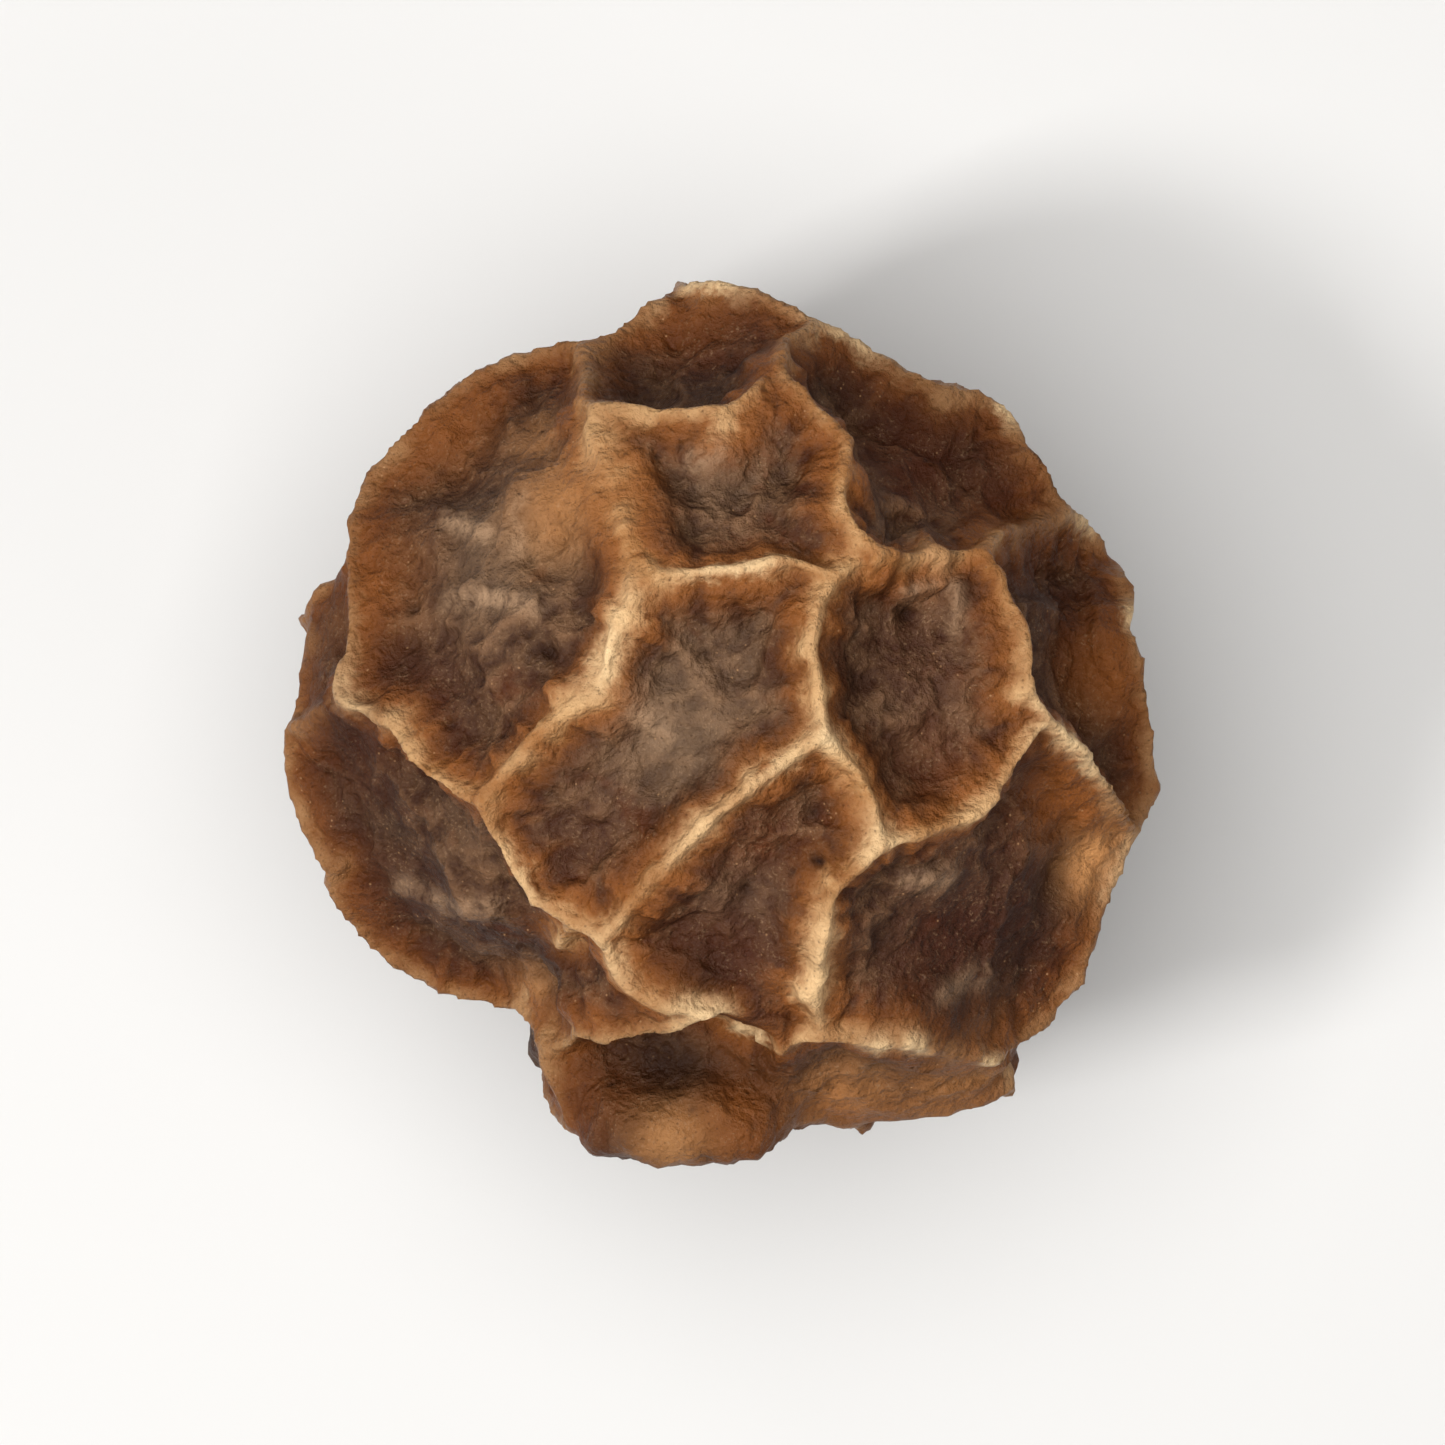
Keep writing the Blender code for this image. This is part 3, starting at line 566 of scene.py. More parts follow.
# %% Dome and wrinkle the floors
FLOOR_FROM = 0.20  # mm from a crest
DOME_HEIGHT, DOME_BAND = 0.045, (0.15, 0.60)  # mm, and mm from a crest
BEND_REACH, BEND_TURNS, BEND_SEEDS = 0.10, 1.9, (1.0, 2.0, 3.0)  # mm, turns in a mm, and none
WRINKLES = ((1.7, 7, 0.050), (3.9, 5, 0.034), (8.5, 3, 0.018))  # turns in a mm, sharpness, height in mm
WRINKLE_SEED = 6.0
floor_share = 1 - bell(apart, FLOOR_FROM)
lift += DOME_HEIGHT * ramp(apart, *DOME_BAND)
bent = points + BEND_REACH * np.stack([field(points, BEND_TURNS, seed) for seed in BEND_SEEDS], axis=1)
wrinkle = np.zeros(len(points))
for turns, sharpness, wrinkle_height in WRINKLES:
    ridged = (1 - np.abs(field(bent, turns, WRINKLE_SEED))) ** sharpness
    wrinkle += wrinkle_height * (ridged - ridged.mean())
lift += wrinkle * floor_share
print("with domes and wrinkles:", round(lift.min(), 3), "to", round(lift.max(), 3), "mm")

# %% [markdown]
# ## What stands on the upper side
# Some small forms show plainly from above, and they are listed one by one: short low folds that end within a
# cell, bright knots on the crests, dark pits, and the deep hollow of the stalk scar. Their places are given in
# millimetres from the middle of the berry as the picture shows it.

# %% Set the small forms
LOW_FOLDS = (  # stops in mm, then half width and height in mm
    (((-1.70, 0.63), (-1.42, 0.67), (-1.12, 0.60)), 0.055, 0.060),
    (((-1.68, 1.14), (-1.45, 1.06)), 0.060, 0.050),
    (((-1.24, 1.28), (-1.26, 0.95)), 0.050, 0.040),
    (((-0.20, 1.49), (-0.03, 1.57)), 0.070, 0.050),
    (((1.15, 1.02), (1.30, 0.88), (1.42, 0.68), (1.39, 0.48)), 0.055, 0.070),
    (((1.08, 0.70), (1.30, 0.76)), 0.045, 0.050),
    (((-1.97, -1.08), (-1.66, -1.22), (-1.38, -1.20)), 0.060, 0.055),
    (((1.10, -1.06), (1.34, -1.02)), 0.070, 0.045),
    (((1.30, -1.75), (1.55, -1.62)), 0.070, 0.040),
    (((-0.62, 0.02), (-0.35, -0.18)), 0.080, 0.030),
)
KNOTS_BY_HAND = (  # x, y, reach and height in mm
    (0.92, -2.07, 0.09, 0.05),
    (1.15, -2.05, 0.08, 0.05),
    (1.63, -2.20, 0.09, 0.06),
    (-1.17, -1.70, 0.08, 0.05),
    (0.62, -0.17, 0.11, 0.03),
    (1.70, 1.80, 0.09, 0.02),
    (2.20, 1.12, 0.09, 0.02),
    (2.44, 0.56, 0.09, 0.02),
)
PITS_BY_HAND = (  # x, y, reach and depth in mm
    (1.07, 0.55, 0.070, 0.070),
    (0.13, -1.12, 0.055, 0.050),
    (-0.12, 0.30, 0.050, 0.040),
    (0.55, -0.95, 0.045, 0.030),
    (-1.05, 0.30, 0.050, 0.030),
)
SCAR_HOLLOW = (-0.33, -2.22, 0.42, 0.17, 0.13)  # x, y, reach along x and along y, depth, in mm
LOW_FOLD_SQUARENESS, PIT_SQUARENESS, HOLLOW_SQUARENESS = 1.6, 2.6, 2.4
FAR_AWAY = 9.0  # mm, more than any distance on the berry


def to_line(places, stops):
    """The least distance from each place to a line through the stops."""
    least = np.full(len(places), FAR_AWAY)
    for start, end in zip(np.array(stops[:-1]), np.array(stops[1:])):
        step = end - start
        share = np.clip((places - start) @ step / (step @ step), 0, 1)
        least = np.minimum(least, np.hypot(*(places - start - share[:, None] * step).T))
    return least


seen = points[:, :2] - PICTURE_MIDDLE
pit = np.zeros(len(points))
for stops, half_width, fold_height in LOW_FOLDS:
    lift += fold_height * upper * bell(to_line(seen, stops), half_width, LOW_FOLD_SQUARENESS)
for x, y, reach, knot_height in KNOTS_BY_HAND:
    lift += knot_height * upper * bell(np.hypot(*(seen - (x, y)).T), reach)
for x, y, reach, depth in PITS_BY_HAND:
    hole = upper * bell(np.hypot(*(seen - (x, y)).T), reach, PIT_SQUARENESS)
    lift -= depth * hole
    pit = np.maximum(pit, hole)
x, y, along, across, depth = SCAR_HOLLOW
from_hollow = np.hypot((seen[:, 0] - x) / along, (seen[:, 1] - y) / across)
hollow = upper * bell(from_hollow, 1.0, HOLLOW_SQUARENESS)
lift -= depth * hollow
print("forms set by hand:", len(LOW_FOLDS) + len(KNOTS_BY_HAND) + len(PITS_BY_HAND) + 1)

# %% Scatter small pits over the floors
PIT_COUNT = 170
PIT_SEED = 5
PIT_REACHES, PIT_DEPTHS = (0.022, 0.055), (0.012, 0.042)  # mm, the least and the most
PIT_RIM = 2.5  # reaches from its middle, where a pit has run out
PITTED_FLOOR, PITTED_HEIGHT = 0.6, 0.5  # the least shares of floor and of height over the ground
draw = random.Random(PIT_SEED)
floor_points = np.flatnonzero((floor_share > PITTED_FLOOR) & (off_ground > PITTED_HEIGHT))
fine_tree = tree_of(points)
for _ in range(PIT_COUNT):
    centre = points[draw.choice(floor_points)]
    reach, depth = draw.uniform(*PIT_REACHES), draw.uniform(*PIT_DEPTHS)
    for _, index, distance in fine_tree.find_range(centre, PIT_RIM * reach):
        hole = math.exp(-((distance / reach) ** 2))
        lift[index] -= depth * hole
        pit[index] = max(pit[index], hole * depth / PIT_DEPTHS[1])
print("small pits:", PIT_COUNT)

# %% [markdown]
# ## Moving the points
# All the pushes are added up and made in one go along the normals. A crest that runs askew over the squares
# comes out with small teeth, so the points on it are averaged with their neighbours a few times. The berry
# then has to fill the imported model's box again and lie flat on its rest spot, so it is stretched by a hair
# along each axis, and nothing moves near the ground.

# %% Move the points and fit the box
CREST_ROUNDS = 3
CREST_SMOOTHING_WIDTH, CREST_SMOOTHING_SQUARENESS = 0.10, 4.0  # mm, and none
normals = read(skin.data, "normal")
points += normals * (lift * off_ground)[:, None]
smoothed = spread(points, skin_edges, CREST_ROUNDS)
on_crest = bell(apart, CREST_SMOOTHING_WIDTH, CREST_SMOOTHING_SQUARENESS)
points += (smoothed - points) * (on_crest * off_ground)[:, None]
box_low, box_high = np.array(cad_low) / MM, np.array(cad_high) / MM
share = (box_high - box_low) / (points.max(0) - points.min(0))
points = box_low + (points - points.min(0)) * share
write(skin.data, points)
print("stretched by", share.round(4), "to fit the model's box")

# %% [markdown]
# ## What the paint needs to know
# The paint changes with the distance to a fold, with the fold's strength, with the creases and with the pits,
# and it is painted darker on the low flanks. The creases, the pits and the low flanks carry painted shade.
# Each of these becomes a number stored at every point, an attribute, which the material reads by name.

# %% Gather the measures of the skin
BEAD_TURNS, BEAD_SEED = 5.2, 8.0
# painted shade: the skin is painted darker from this distance off the axis, and everywhere below the waist
FLANK_SHADE_BAND = (1.5, 2.5)  # mm from the axis, from which the skin counts as low
from_axis = np.hypot(points[:, 0], points[:, 1])
attributes = {
    "apart": apart,
    "strength": strength,
    "crease": crease,
    "wrinkle": wrinkle / wrinkle.std(),
    "pit": pit,
    "hollow": hollow,
    "bead": 0.5 + 0.5 * field(crest_at, BEAD_TURNS, BEAD_SEED),
    # painted shade on the low flanks, 1 where the skin is painted fully in shade
    "low": 1 - upper * (1 - ramp(from_axis, *FLANK_SHADE_BAND)),
}
print("measures:", sorted(attributes))

# %% [markdown]
# ## Patches
# No two cells of a dried berry have the same colour. Where the picture shows a paler, warmer, darker or greyer
# place, a soft round patch is listed, and each kind of patch is one more attribute. Not every kind is the
# skin's own colour: the highlight patches paint highlights, the sheen patches a grey sheen and the shade
# patches shade, and the tan patches are partly painted highlight.

# %% Set the patches and store all attributes
PATCHES = {  # x and y from the picture's middle and reach, all in mm, and amount
    "broad": (
        (-0.80, 0.28, 0.26, 1.0), (-0.62, 0.66, 0.22, 0.8), (-0.72, 1.35, 0.34, 0.9),
        (-0.72, 1.70, 0.25, 0.7), (-0.25, -0.60, 0.30, 0.5), (0.30, -0.20, 0.30, 0.4),
        (0.75, -0.60, 0.30, 0.5), (0.52, -1.50, 0.45, 0.6), (0.62, 0.86, 0.20, 0.6),
        (0.00, -1.85, 0.30, 0.9), (-0.60, -1.65, 0.25, 0.4), (2.30, -0.95, 0.26, 0.5),
        (0.95, -2.05, 0.30, 0.6), (-2.00, 1.60, 0.35, 0.5), (-1.15, -1.00, 0.35, 0.4),
        (-2.15, 0.00, 0.30, 0.5), (1.45, -0.66, 0.40, 0.3), (2.12, -0.22, 0.30, 0.4),
    ),
    # painted highlights: glints on crests, rims, knots, floor lumps and the lip
    "painted_highlight": (
        (-0.78, 0.32, 0.24, 1.0), (-1.15, -0.98, 0.30, 0.45), (-2.25, -0.02, 0.25, 0.5),
        (1.50, -0.62, 0.35, 0.35), (-0.66, 0.62, 0.16, 0.5), (-0.25, -0.62, 0.30, 0.6),
        (0.60, -0.14, 0.16, 0.6), (0.93, -0.80, 0.18, 0.6), (0.50, -1.55, 0.40, 0.5),
        (-0.10, -1.82, 0.22, 0.9), (-0.66, -1.50, 0.25, 0.5), (0.05, 0.84, 0.30, 0.8),
        (0.58, 0.40, 0.40, 0.2), (0.30, -0.36, 0.25, 0.6), (2.20, -0.30, 0.25, 0.8),
        (0.15, -1.98, 0.20, 0.8), (-0.33, -2.64, 0.14, 0.3), (1.92, -0.05, 0.16, 0.6),
        (2.33, -0.97, 0.22, 0.4), (0.02, -1.85, 0.14, 1.0), (0.20, -1.99, 0.14, 1.0),
        (2.12, -0.22, 0.28, 0.9), (-1.42, 0.66, 0.34, 1.0), (-1.52, 1.10, 0.24, 0.7),
        (-0.12, 1.53, 0.16, 0.7), (-0.10, 2.60, 0.24, 0.8), (0.75, 2.25, 0.26, 0.6),
    ),
    "faint": (
        (-0.68, 1.35, 0.36, 0.7), (-0.10, 1.86, 0.40, 0.5), (1.25, 1.00, 0.30, 0.8),
        (1.90, 1.12, 0.28, 0.9), (0.70, 1.50, 0.40, 0.3), (-1.20, -0.25, 0.35, 0.4),
        (-0.45, -1.05, 0.28, 0.5), (0.57, 0.40, 0.30, 0.3), (-1.95, -0.25, 0.30, 0.4),
        (1.80, 0.50, 0.40, 0.3), (-1.40, -0.42, 0.28, 0.8), (-0.50, -1.10, 0.35, 0.8),
        (-1.25, -0.28, 0.35, 0.7), (1.25, 0.95, 0.40, 0.9), (0.10, -0.50, 0.30, 0.3),
    ),
    # painted sheen: grey patches on floors that face up
    "grey_sheen": (
        (-1.40, 0.85, 0.45, 0.5), (-0.28, -0.10, 0.55, 0.58), (0.10, -1.15, 0.35, 0.3),
        (0.05, 0.45, 0.25, 0.3), (1.20, 0.00, 0.35, 0.2), (-1.85, 1.35, 0.30, 0.25),
        (0.00, 1.35, 0.30, 0.35),
    ),
    "shade": (
        (-2.25, -0.16, 0.20, 0.7), (-0.15, -1.58, 0.24, 0.8), (1.30, -1.85, 0.30, 0.5),
        (0.25, -2.25, 0.16, 0.5), (1.75, 0.95, 0.20, 0.4), (0.62, -0.95, 0.16, 0.4),
        (0.10, 2.02, 0.16, 0.5), (-1.05, -1.50, 0.18, 0.4),
    ),
    # partly the skin's tan and partly painted highlight: the entries on the rims, the lip and the blob on the
    # right paint highlights
    "tan_and_highlight": (
        (-0.95, 1.25, 0.34, 0.75), (-1.10, 1.60, 0.22, 0.4), (2.33, -0.95, 0.26, 1.4),
        (-0.33, -2.64, 0.26, 0.6), (0.75, -2.33, 0.35, 0.55), (1.35, -2.36, 0.45, 0.5),
        (-1.15, -1.75, 0.25, 0.35), (-0.10, 2.62, 0.13, 0.7), (0.75, 2.28, 0.16, 0.5),
        (1.15, 2.10, 0.12, 0.5),
    ),
    "amber": (
        (-0.72, -2.38, 0.26, 0.2), (0.12, -2.50, 0.30, 0.5), (2.12, -0.55, 0.30, 0.7),
        (-1.75, 1.75, 0.40, 0.5), (-2.15, 0.80, 0.40, 0.4), (2.35, 0.20, 0.30, 0.5),
        (0.60, -2.50, 0.30, 0.4), (-0.15, 2.47, 0.30, 0.25),
    ),
    "warm": (
        (-2.30, -0.20, 0.35, 1.0), (1.85, 1.15, 0.45, 1.0), (2.15, 0.45, 0.35, 0.8),
        (-0.05, 2.35, 0.35, 0.9), (-2.20, -1.15, 0.35, 0.6), (-0.75, -2.45, 0.35, 0.9),
        (0.15, -2.55, 0.35, 0.9), (1.25, -0.35, 0.30, 0.6), (2.05, -0.45, 0.35, 0.9),
        (1.15, 1.45, 0.40, 0.6), (0.20, -0.75, 0.30, 0.5), (1.30, -1.80, 0.35, 0.5),
        (-0.15, -1.55, 0.30, 0.5), (1.15, -2.32, 0.35, 0.5), (-2.25, -0.15, 0.22, 1.3),
    ),
    "dusky": (
        (-0.72, -0.78, 0.35, 0.55), (1.55, -1.40, 0.65, 1.0), (0.08, -1.55, 0.45, 0.9),
        (1.10, 0.30, 0.35, 0.6), (-1.75, 0.10, 0.35, 0.6), (1.25, 1.70, 0.40, 0.8),
        (-0.10, 2.10, 0.25, 0.5), (-1.75, -1.15, 0.40, 0.6),
    ),
}
PATCH_SPREAD = 1.1  # as a patch on a slope is longer than it looks from above
PATCH_SQUARENESS = 2.4
for name, patches in PATCHES.items():
    attributes[name] = np.zeros(len(points))
    for x, y, reach, amount in patches:
        away = np.linalg.norm(points - np.array(from_above(x, y)), axis=1)
        patch = amount * bell(away, reach * PATCH_SPREAD, PATCH_SQUARENESS)
        attributes[name] = np.maximum(attributes[name], patch)
seen = points[:, :2] - PICTURE_MIDDLE
# the tops of the low folds, where highlights are painted
attributes["ridgelet"] = np.zeros(len(points))
for stops, half_width, _ in LOW_FOLDS:
    ridgelet = upper * bell(to_line(seen, stops), half_width)
    attributes["ridgelet"] = np.maximum(attributes["ridgelet"], ridgelet)
# the knots carry a painted highlight
for x, y, reach, _ in KNOTS_BY_HAND:
    knot = upper * bell(np.hypot(*(seen - (x, y)).T), reach)
    attributes["painted_highlight"] = np.maximum(attributes["painted_highlight"], knot)
for name, values in attributes.items():
    attribute = skin.data.attributes.new(name, "FLOAT", "POINT")
    attribute.data.foreach_set("value", values.astype(np.float32))
print("attributes:", sorted(attributes))

# %% [markdown]
# ## Writing shader maths in Python
# A node is a clumsy way to write a sum. The small class below wraps a socket, so that an expression on such
# signals adds its Math nodes by itself, and one method makes any other kind of node.

# %% Wrap the sockets
MIX_SHARE, MIX_ONE, MIX_OTHER, MIX_COLOUR = 0, 6, 7, 2  # the sockets of a Mix node that mixes colours


class Signal:
    """A number on its way through a material. An expression on signals makes Math nodes."""

    def __init__(self, paint, socket):
        self.paint, self.socket = paint, socket

    def maths(self, operation, *values):
        """What one Math node makes of these values."""
        values = dict(enumerate(values))
        return self.paint.node("ShaderNodeMath", {"operation": operation}, values)

    def __add__(self, other):
        return self.maths("ADD", self, other)

    def __sub__(self, other):
        return self.maths("SUBTRACT", self, other)

    def __rsub__(self, other):
        return self.maths("SUBTRACT", other, self)

    def __mul__(self, other):
        return self.maths("MULTIPLY", self, other)

    __radd__, __rmul__ = __add__, __mul__

    def clamped(self):
        """The same number, kept between 0 and 1."""
        return self.maths("MINIMUM", self.maths("MAXIMUM", self, 0.0), 1.0)


class Paint:
    """A material being mixed."""

    def __init__(self, name):
        self.material = bpy.data.materials.new(name)
        self.material.use_nodes = True
        self.tree = self.material.node_tree
        self.shader = self.tree.nodes["Principled BSDF"]

    def node(self, kind, settings, sockets, output=0):
        """Adds a node, makes its settings, then sets or links its sockets, and gives one output."""
        made = self.tree.nodes.new(kind)
        for name, value in settings.items():
            setattr(made, name, value)
        for name, value in sockets.items():
            self.feed(made.inputs[name], value)
        return Signal(self, made.outputs[output])

    def feed(self, socket, value):
        """Links a signal to a socket, or sets the socket to a plain value."""
        if isinstance(value, Signal):
            self.tree.links.new(value.socket, socket)
        else:
            socket.default_value = value

    def attribute(self, name):
        """A number that is stored at the points of the mesh under this name."""
        return self.node("ShaderNodeAttribute", {"attribute_name": name}, {}, "Fac")

    def between(self, value, low, high):
        """Rises smoothly from 0 at low to 1 at high."""
        sockets = {"Value": value, "From Min": low, "From Max": high}
        return self.node("ShaderNodeMapRange", {"interpolation_type": "SMOOTHSTEP"}, sockets)

    def blend(self, share, one, other):
        """A colour between two colours."""
        sockets = {MIX_SHARE: share, MIX_ONE: one, MIX_OTHER: other}
        return self.node("ShaderNodeMix", {"data_type": "RGBA"}, sockets, MIX_COLOUR)


def colour(red, green, blue):
    """A colour from 0 to 255, as painting programs show it, brought to a shader's scale as sRGB says."""
    shares = [value / 255 for value in (red, green, blue)]
    return (*(s / 12.92 if s <= 0.04045 else ((s + 0.055) / 1.055) ** 2.4 for s in shares), 1.0)


print("a mid grey is", round(colour(128, 128, 128)[0], 3), "in the linear scale")

# %% [markdown]
# ## The noise under the paint
# Noise breaks every border between two colours, as no border on a dried skin is clean. It is read in five
# sizes, from clouds as wide as a cell down to a grain that is finer than the mesh, and round cells of a
# Voronoi texture stand for grains and pores. All of it reads the berry's own coordinates in millimetres.

# %% Make the clouds and the grains
paint = Paint("dried_pepper_skin")
place = paint.node("ShaderNodeTexCoord", {}, {}, "Object")
place = paint.node("ShaderNodeMapping", {}, {"Vector": place, "Scale": (1 / MM, 1 / MM, 1 / MM)})


def cloud(turns, detail, roughness=0.6, distortion=0.0):
    """Noise between 0 and 1, with so many turns in a millimetre."""
    sockets = {"Vector": place, "Scale": turns, "Detail": detail, "Roughness": roughness}
    return paint.node("ShaderNodeTexNoise", {}, {**sockets, "Distortion": distortion})


def round_cells(turns):
    """The distance to the middle of the nearest cell, with so many cells in a millimetre."""
    return paint.node("ShaderNodeTexVoronoi", {}, {"Vector": place, "Scale": turns, "Randomness": 1.0})


broad, patchy = cloud(turns=0.7, detail=2), cloud(turns=2.2, detail=3)
mottled = cloud(turns=6.0, detail=5, roughness=0.62, distortion=0.4)
fine, hair = cloud(turns=24.0, detail=4, roughness=0.62), cloud(turns=48.0, detail=3)
grains, pores = round_cells(turns=16.0), round_cells(turns=22.0)
print("nodes of noise:", len(paint.tree.nodes))

# %% [markdown]
# ## Where each colour goes
# A crest is pale, its sides glow amber and the floor is dark. So a share between 0 and 1 is worked out for
# each from the distance to the fold. The distance is jittered with noise first, and some crests are broader,
# fainter or brighter than others; the brighter ones are painted highlights.

# %% Find the crests, their glow and their sides
MOTTLED_JITTER, FINE_JITTER = 0.20, 0.10  # mm
CREST_REACH, CREST_JITTER, BROAD_REACH, BEAD_REACH = 0.053, 0.08, 0.06, 0.04  # mm
USUAL_PATCHY = 0.35
CREST_FROM, CREST_TO = -0.01, 2.0  # mm, and reaches
GLOW_FROM, GLOW_TO, GLOW_MORE = 0.4, 2.2, 0.10  # reaches, reaches, and mm
SIDE_BAND = (0.12, 0.44)  # mm
HIGHLIGHT_STRENGTH, FAINT_CREST, FAINT_GLOW = 0.4, 0.6, 0.3
wide, painted_highlight, faint = (paint.attribute(name) for name in ("broad", "painted_highlight", "faint"))
bead, low, grey_sheen = (paint.attribute(name) for name in ("bead", "low", "grey_sheen"))
apart_here = paint.attribute("apart") + (mottled - 0.5) * MOTTLED_JITTER + (fine - 0.5) * FINE_JITTER
# a crest under a painted highlight counts as a stronger fold
fold = (paint.attribute("strength") + painted_highlight * HIGHLIGHT_STRENGTH).clamped()
crest_reach = CREST_REACH + (patchy - USUAL_PATCHY) * CREST_JITTER + wide * BROAD_REACH
crest_reach = crest_reach + (bead - 0.5) * BEAD_REACH
crest_share = 1 - paint.between(apart_here, CREST_FROM, crest_reach * CREST_TO)
crest_share = crest_share * fold * (1 - faint * FAINT_CREST)
glow_share = 1 - paint.between(apart_here, crest_reach * GLOW_FROM, crest_reach * GLOW_TO + GLOW_MORE)
glow_share = glow_share * fold * (1 - faint * FAINT_GLOW)
side_share = (1 - paint.between(apart_here, *SIDE_BAND)) * fold
print("nodes up to the shares:", len(paint.tree.nodes))

# %% [markdown]
# ## The floors
# The floor of a cell is a dull purple-brown. It is painted darker in its furrows and paler on its wrinkles, as
# painted shade and light. It turns grey in broad clouds and on the sheen patches, which paint a grey sheen,
# and to a warm dark brown in some cells; low on the berry it is painted darker, as shade. Each of these is a
# layer that lies over the ones before it by its share, as glazes do in painting.

# %% Mix the floors
FLOOR_DARK, FLOOR_PALE = colour(62, 36, 22), colour(106, 75, 51)
WRINKLE_TOP_LIGHT, FURROW_SHADE = colour(138, 100, 70), colour(44, 23, 12)
CLOUD_AND_SHEEN_GREY, DUSKY_BROWN, WARM_BROWN, SHADED_LOW_FLOOR = (
    colour(136, 110, 85), colour(64, 30, 18), colour(90, 38, 6), colour(44, 22, 10))
FLOOR_BAND, WRINKLE_LIGHT_BAND, FURROW_SHADE_BAND = (0.35, 0.65), (0.3, 2.6), (-1.3, -0.2)
GREY_BAND, WARM_BAND = (0.50, 0.80), (0.58, 0.75)
WRINKLE_LIGHT_SHARE, FURROW_SHADE_SHARE, DUSKY_SHARE, LOW_FLOOR_SHADE_SHARE = 0.55, 0.45, 0.85, 0.6
GREY_SHARE, SHEEN_LEAST, SHEEN_MOTTLING = 0.35, 0.25, 0.9
WARM_SHARE, WARM_CLOUDS = 0.75, 0.4


def layered(base, *layers):
    """A colour with others laid over it, each by its share."""
    for share, over in layers:
        base = paint.blend(share, base, over)
    return base


wrinkle_here, warm, dusky = (paint.attribute(name) for name in ("wrinkle", "warm", "dusky"))
grey = paint.between(broad, *GREY_BAND) * GREY_SHARE
floor_colour = layered(
    paint.blend(paint.between(mottled, *FLOOR_BAND), FLOOR_DARK, FLOOR_PALE),
    # painted light on the tops of the wrinkles and painted shade in their furrows
    (paint.between(wrinkle_here, *WRINKLE_LIGHT_BAND) * WRINKLE_LIGHT_SHARE, WRINKLE_TOP_LIGHT),
    ((1 - paint.between(wrinkle_here, *FURROW_SHADE_BAND)) * FURROW_SHADE_SHARE, FURROW_SHADE),
    # grey in broad clouds, and a painted grey sheen on the sheen patches
    ((grey + grey_sheen * (SHEEN_LEAST + mottled * SHEEN_MOTTLING)).clamped(), CLOUD_AND_SHEEN_GREY),
    (dusky * DUSKY_SHARE, DUSKY_BROWN),
    ((warm * WARM_SHARE + paint.between(patchy, *WARM_BAND) * WARM_CLOUDS).clamped(), WARM_BROWN),
    # painted shade on the low flanks
    (low * LOW_FLOOR_SHADE_SHARE, SHADED_LOW_FLOOR),
)
print("nodes up to the floors:", len(paint.tree.nodes))

# %% [markdown]
# ## The folds
# The sides of the folds are amber, and their crests are a pale tan, because the skin there is stretched and a
# little worn. The creases down the sides are painted darker than what stands between them, as shade.
# Everything low on the berry is painted darker as well, as shade, because the picture shows its flanks so.
# Where the highlight patches lie, the crests and the tan carry a painted highlight.

# %% Mix the sides and the crests
SIDE_CREASE_SHADE, SIDE_AMBER, SHADED_LOW_SIDE = colour(66, 28, 6), colour(124, 69, 27), colour(84, 40, 12)
CREST_DULL, CREST_PALE, SHADED_LOW_CREST = colour(166, 116, 68), colour(216, 172, 120), colour(118, 74, 40)
CREST_HIGHLIGHT = colour(242, 208, 158)
GLOW, SHADED_LOW_GLOW = colour(150, 92, 44), colour(100, 54, 20)
TAN, TAN_HIGHLIGHT = colour(174, 118, 68), colour(222, 164, 106)
FLUTE_JITTER, FLUTE_BAND, PALE_CREST_BAND = 2.0, (0.1, 1.1), (0.65, 1.05)
BEAD_PART, PATCHY_PART, FINE_PART = 0.6, 0.5, 0.6  # of what makes a crest pale
LOW_SIDE_SHADE_SHARE, LOW_CREST_SHADE_SHARE, LOW_GLOW_SHADE_SHARE = 0.5, 0.7, 0.7
# painted shade in the creases down the sides of the folds
flute = paint.between(paint.attribute("crease") + (mottled - 0.5) * FLUTE_JITTER, *FLUTE_BAND)
# painted shade on the low flanks, for the sides, the crests and the glow alike
side_colour = layered(paint.blend(flute, SIDE_CREASE_SHADE, SIDE_AMBER), (low * LOW_SIDE_SHADE_SHARE, SHADED_LOW_SIDE))
# the paler beads along the crests are partly painted highlights and partly the crests' uneven tone
crest_paleness = bead * BEAD_PART + patchy * PATCHY_PART + fine * FINE_PART
crest_colour = layered(
    paint.blend(paint.between(crest_paleness, *PALE_CREST_BAND), CREST_DULL, CREST_PALE),
    (low * LOW_CREST_SHADE_SHARE, SHADED_LOW_CREST),
    # painted highlight on the crests
    (painted_highlight, CREST_HIGHLIGHT),
)
glow_colour = layered(GLOW, (low * LOW_GLOW_SHADE_SHARE, SHADED_LOW_GLOW))
# the tan takes a painted highlight where the highlight patches lie
tan_colour = layered(TAN, (painted_highlight, TAN_HIGHLIGHT))
print("nodes up to the folds:", len(paint.tree.nodes))

# %% [markdown]
# ## All layers together
# Over the floors lie the sides, then the amber and tan patches, the painted highlights on the tops of the low
# folds, the glow and the crests. Tiny specks, a pale bloom and dark pores come last, and then painted shade in
# the pits, the hollow and the shade patches.

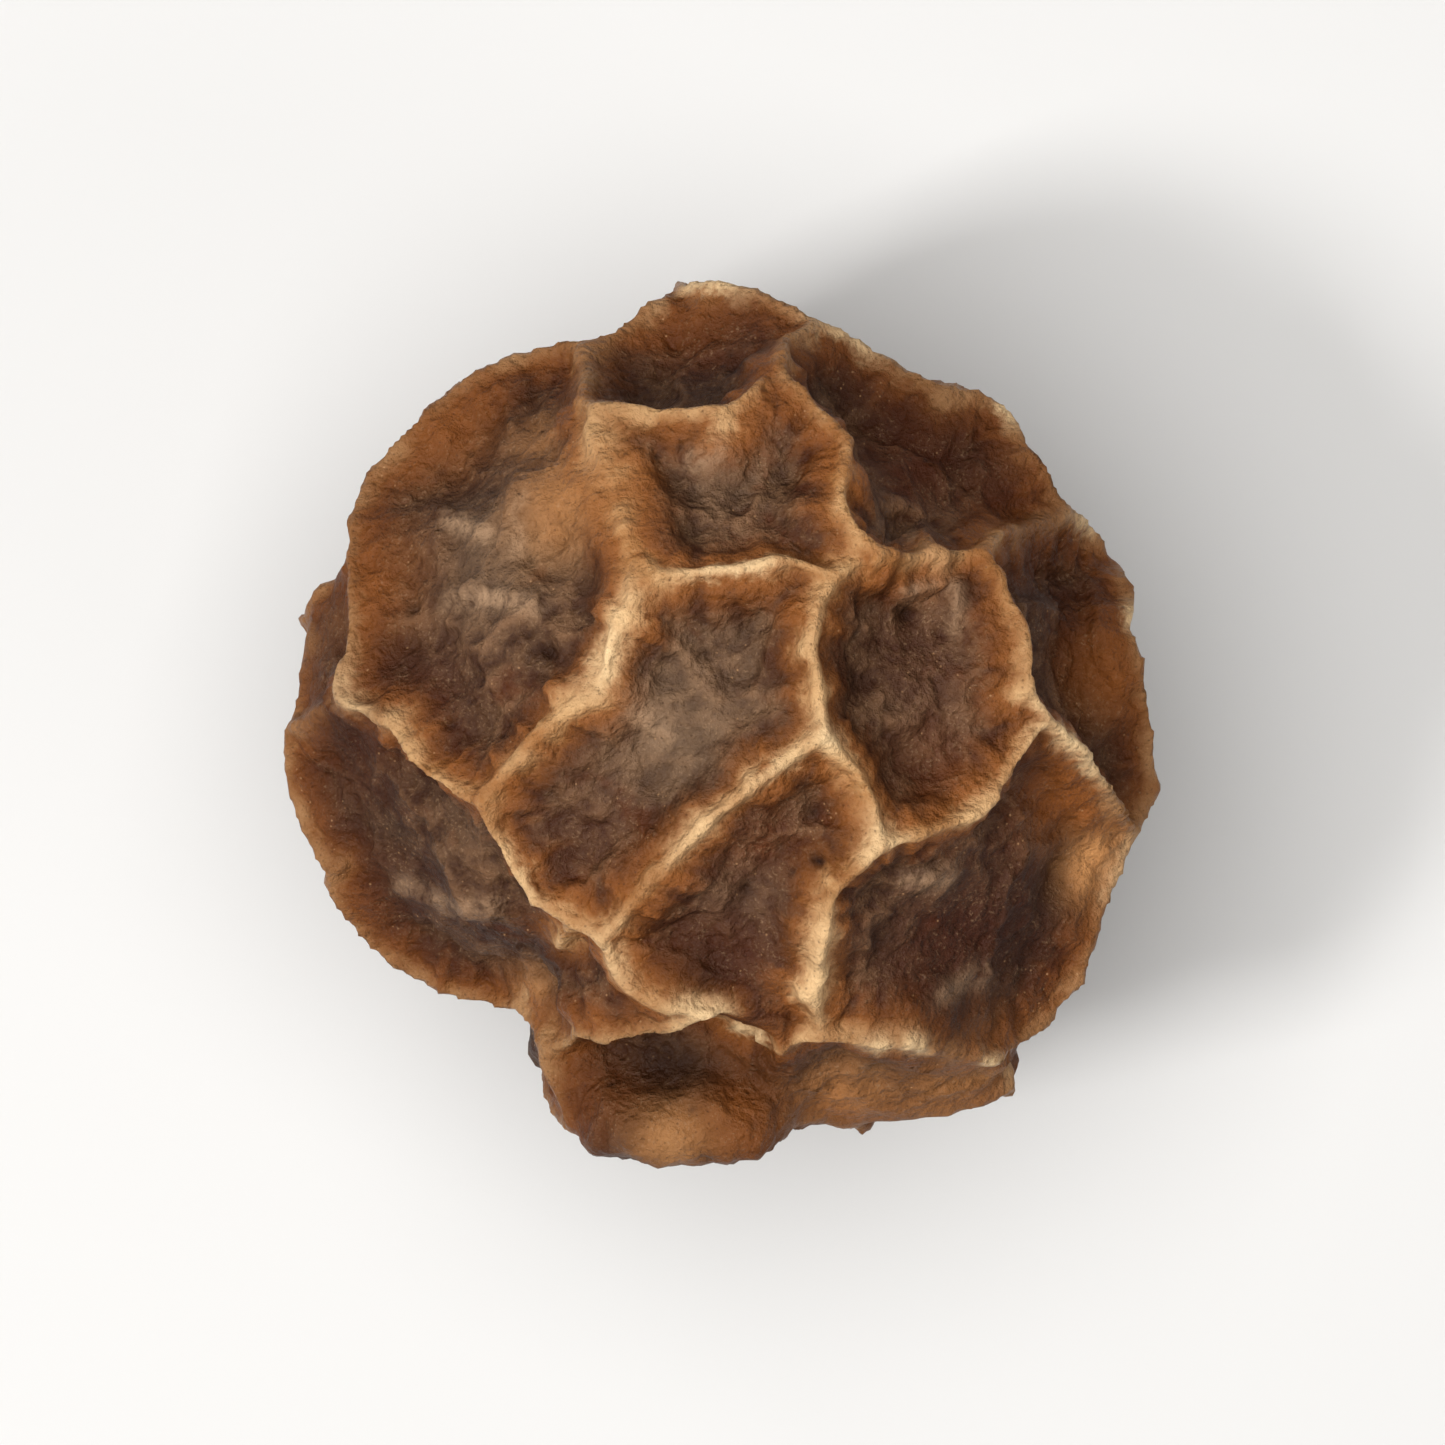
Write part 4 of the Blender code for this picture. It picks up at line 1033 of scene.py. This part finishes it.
# %% Lay the colours over each other
AMBER, LOW_FOLD_HIGHLIGHT = colour(152, 88, 36), colour(186, 150, 116)
SPECK, BLOOM, PORE, PAINTED_SHADOW = (
    colour(186, 142, 100), colour(166, 132, 100), colour(46, 24, 12), colour(34, 14, 4))
TOP_OF_FOLD_BAND = (0.25, 0.62)
AMBER_LEAST, TAN_LEAST, PATCH_MOTTLING = 0.5, 0.55, 0.8
LOW_FOLD_HIGHLIGHT_SHARE, LOW_FOLD_HIGHLIGHT_MORE = 0.40, 0.40
SIDE_SHARE, SIDE_UNDER_SHEEN, GLOW_SHARE, CREST_SHARE = 0.85, 0.5, 0.85, 0.95
SPECK_SHARE, BLOOM_SHARE, BLOOM_OFF_SIDES, PORE_SHARE = 0.5, 0.35, 0.7, 0.40
PIT_SHADE_SHARE, HOLLOW_SHADE_SHARE, SHADE_SHARE = 0.8, 0.85, 0.8
SPECK_BAND, SPECK_WHERE, PORE_BAND = (0.05, 0.16), (0.52, 0.60), (0.08, 0.24)
BLOOM_BAND, BLOOM_WHERE = (0.54, 0.70), (0.40, 0.60)
amber, tan_and_highlight, ridgelet, shade = (paint.attribute(name) for name in ("amber", "tan_and_highlight", "ridgelet", "shade"))
# painted highlight on the tops of the low folds
low_fold_glint = ridgelet * paint.between(mottled, *TOP_OF_FOLD_BAND)
specks = (1 - paint.between(grains, *SPECK_BAND)) * paint.between(patchy, *SPECK_WHERE)
bloom = paint.between(hair, *BLOOM_BAND) * paint.between(mottled, *BLOOM_WHERE)
# painted shade in the pits and in the hollow of the stalk scar
shaded_recess = paint.attribute("pit") * PIT_SHADE_SHARE + paint.attribute("hollow") * HOLLOW_SHADE_SHARE
skin_colour = layered(
    floor_colour,
    # the sides are laid on thinner under the painted sheen
    ((side_share * SIDE_SHARE * (1 - grey_sheen * SIDE_UNDER_SHEEN)).clamped(), side_colour),
    (amber * (AMBER_LEAST + mottled * PATCH_MOTTLING), AMBER),
    # tan, partly a painted highlight
    ((tan_and_highlight * (TAN_LEAST + mottled * PATCH_MOTTLING)).clamped(), tan_colour),
    # painted highlight on the low folds, stronger under the highlight patches
    (low_fold_glint * (LOW_FOLD_HIGHLIGHT_SHARE + painted_highlight * LOW_FOLD_HIGHLIGHT_MORE), LOW_FOLD_HIGHLIGHT),
    ((glow_share * GLOW_SHARE).clamped(), glow_colour),
    ((crest_share * CREST_SHARE).clamped(), crest_colour),
    (specks * SPECK_SHARE, SPECK),
    (bloom * (1 - side_share * BLOOM_OFF_SIDES) * BLOOM_SHARE, BLOOM),
    ((1 - paint.between(pores, *PORE_BAND)) * PORE_SHARE, PORE),
    # painted shade in the pits, the hollow and the shade patches
    ((shaded_recess + shade * (1 - crest_share) * SHADE_SHARE).clamped(), PAINTED_SHADOW),
)
paint.feed(paint.shader.inputs["Base Color"], skin_colour)
print("nodes in the paint:", len(paint.tree.nodes))

# %% [markdown]
# ## Grain and sheen
# What is finer than the mesh, such as the grain of the skin and its pores, is a bump, which only bends the
# light. The skin is dull with a faint sheen, a little more so on the worn crests.

# %% Give the skin its grain and sheen
ROUGHNESS, ROUGHNESS_JITTER, WORN_SMOOTHER = 0.46, 0.30, 0.08
SPECULAR_LEVEL = 0.13
BUMP_DEPTH, BUMP_STRENGTH = 0.045 * MM, 0.9
BUMP_PARTS = (1.2, 0.5, 0.35, 0.20, 0.10)  # of the mottling, the fine noise, the grains, the pores, the hair
largest_part, *finer_parts = BUMP_PARTS
bump_height = mottled * largest_part
for signal, part in zip((fine, grains, pores, hair), finer_parts):
    bump_height = bump_height + signal * part
bump_sockets = {"Height": bump_height, "Distance": BUMP_DEPTH, "Strength": BUMP_STRENGTH}
paint.feed(paint.shader.inputs["Normal"], paint.node("ShaderNodeBump", {}, bump_sockets))
roughness_here = ROUGHNESS + (fine - 0.5) * ROUGHNESS_JITTER - crest_share * WORN_SMOOTHER
paint.feed(paint.shader.inputs["Roughness"], roughness_here)
paint.shader.inputs["Specular IOR Level"].default_value = SPECULAR_LEVEL
skin.data.materials.clear()
skin.data.materials.append(paint.material)
print("nodes in the paint with its bump:", len(paint.tree.nodes))

# %% [markdown]
# ## Handing the skin over
# The helpers are removed and the skin's mesh goes back to metres. Then the skin rides on the root body, and
# the imported berry is hidden.

# %% Finish
for helper in (coarse, guide):
    bpy.data.objects.remove(helper)
skin.scale = (MM, MM, MM)
work_on(skin)
bpy.ops.object.transform_apply(location=False, rotation=False, scale=True)
skin.data.shade_smooth()
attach(skin, "root")
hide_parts("peppercorn")
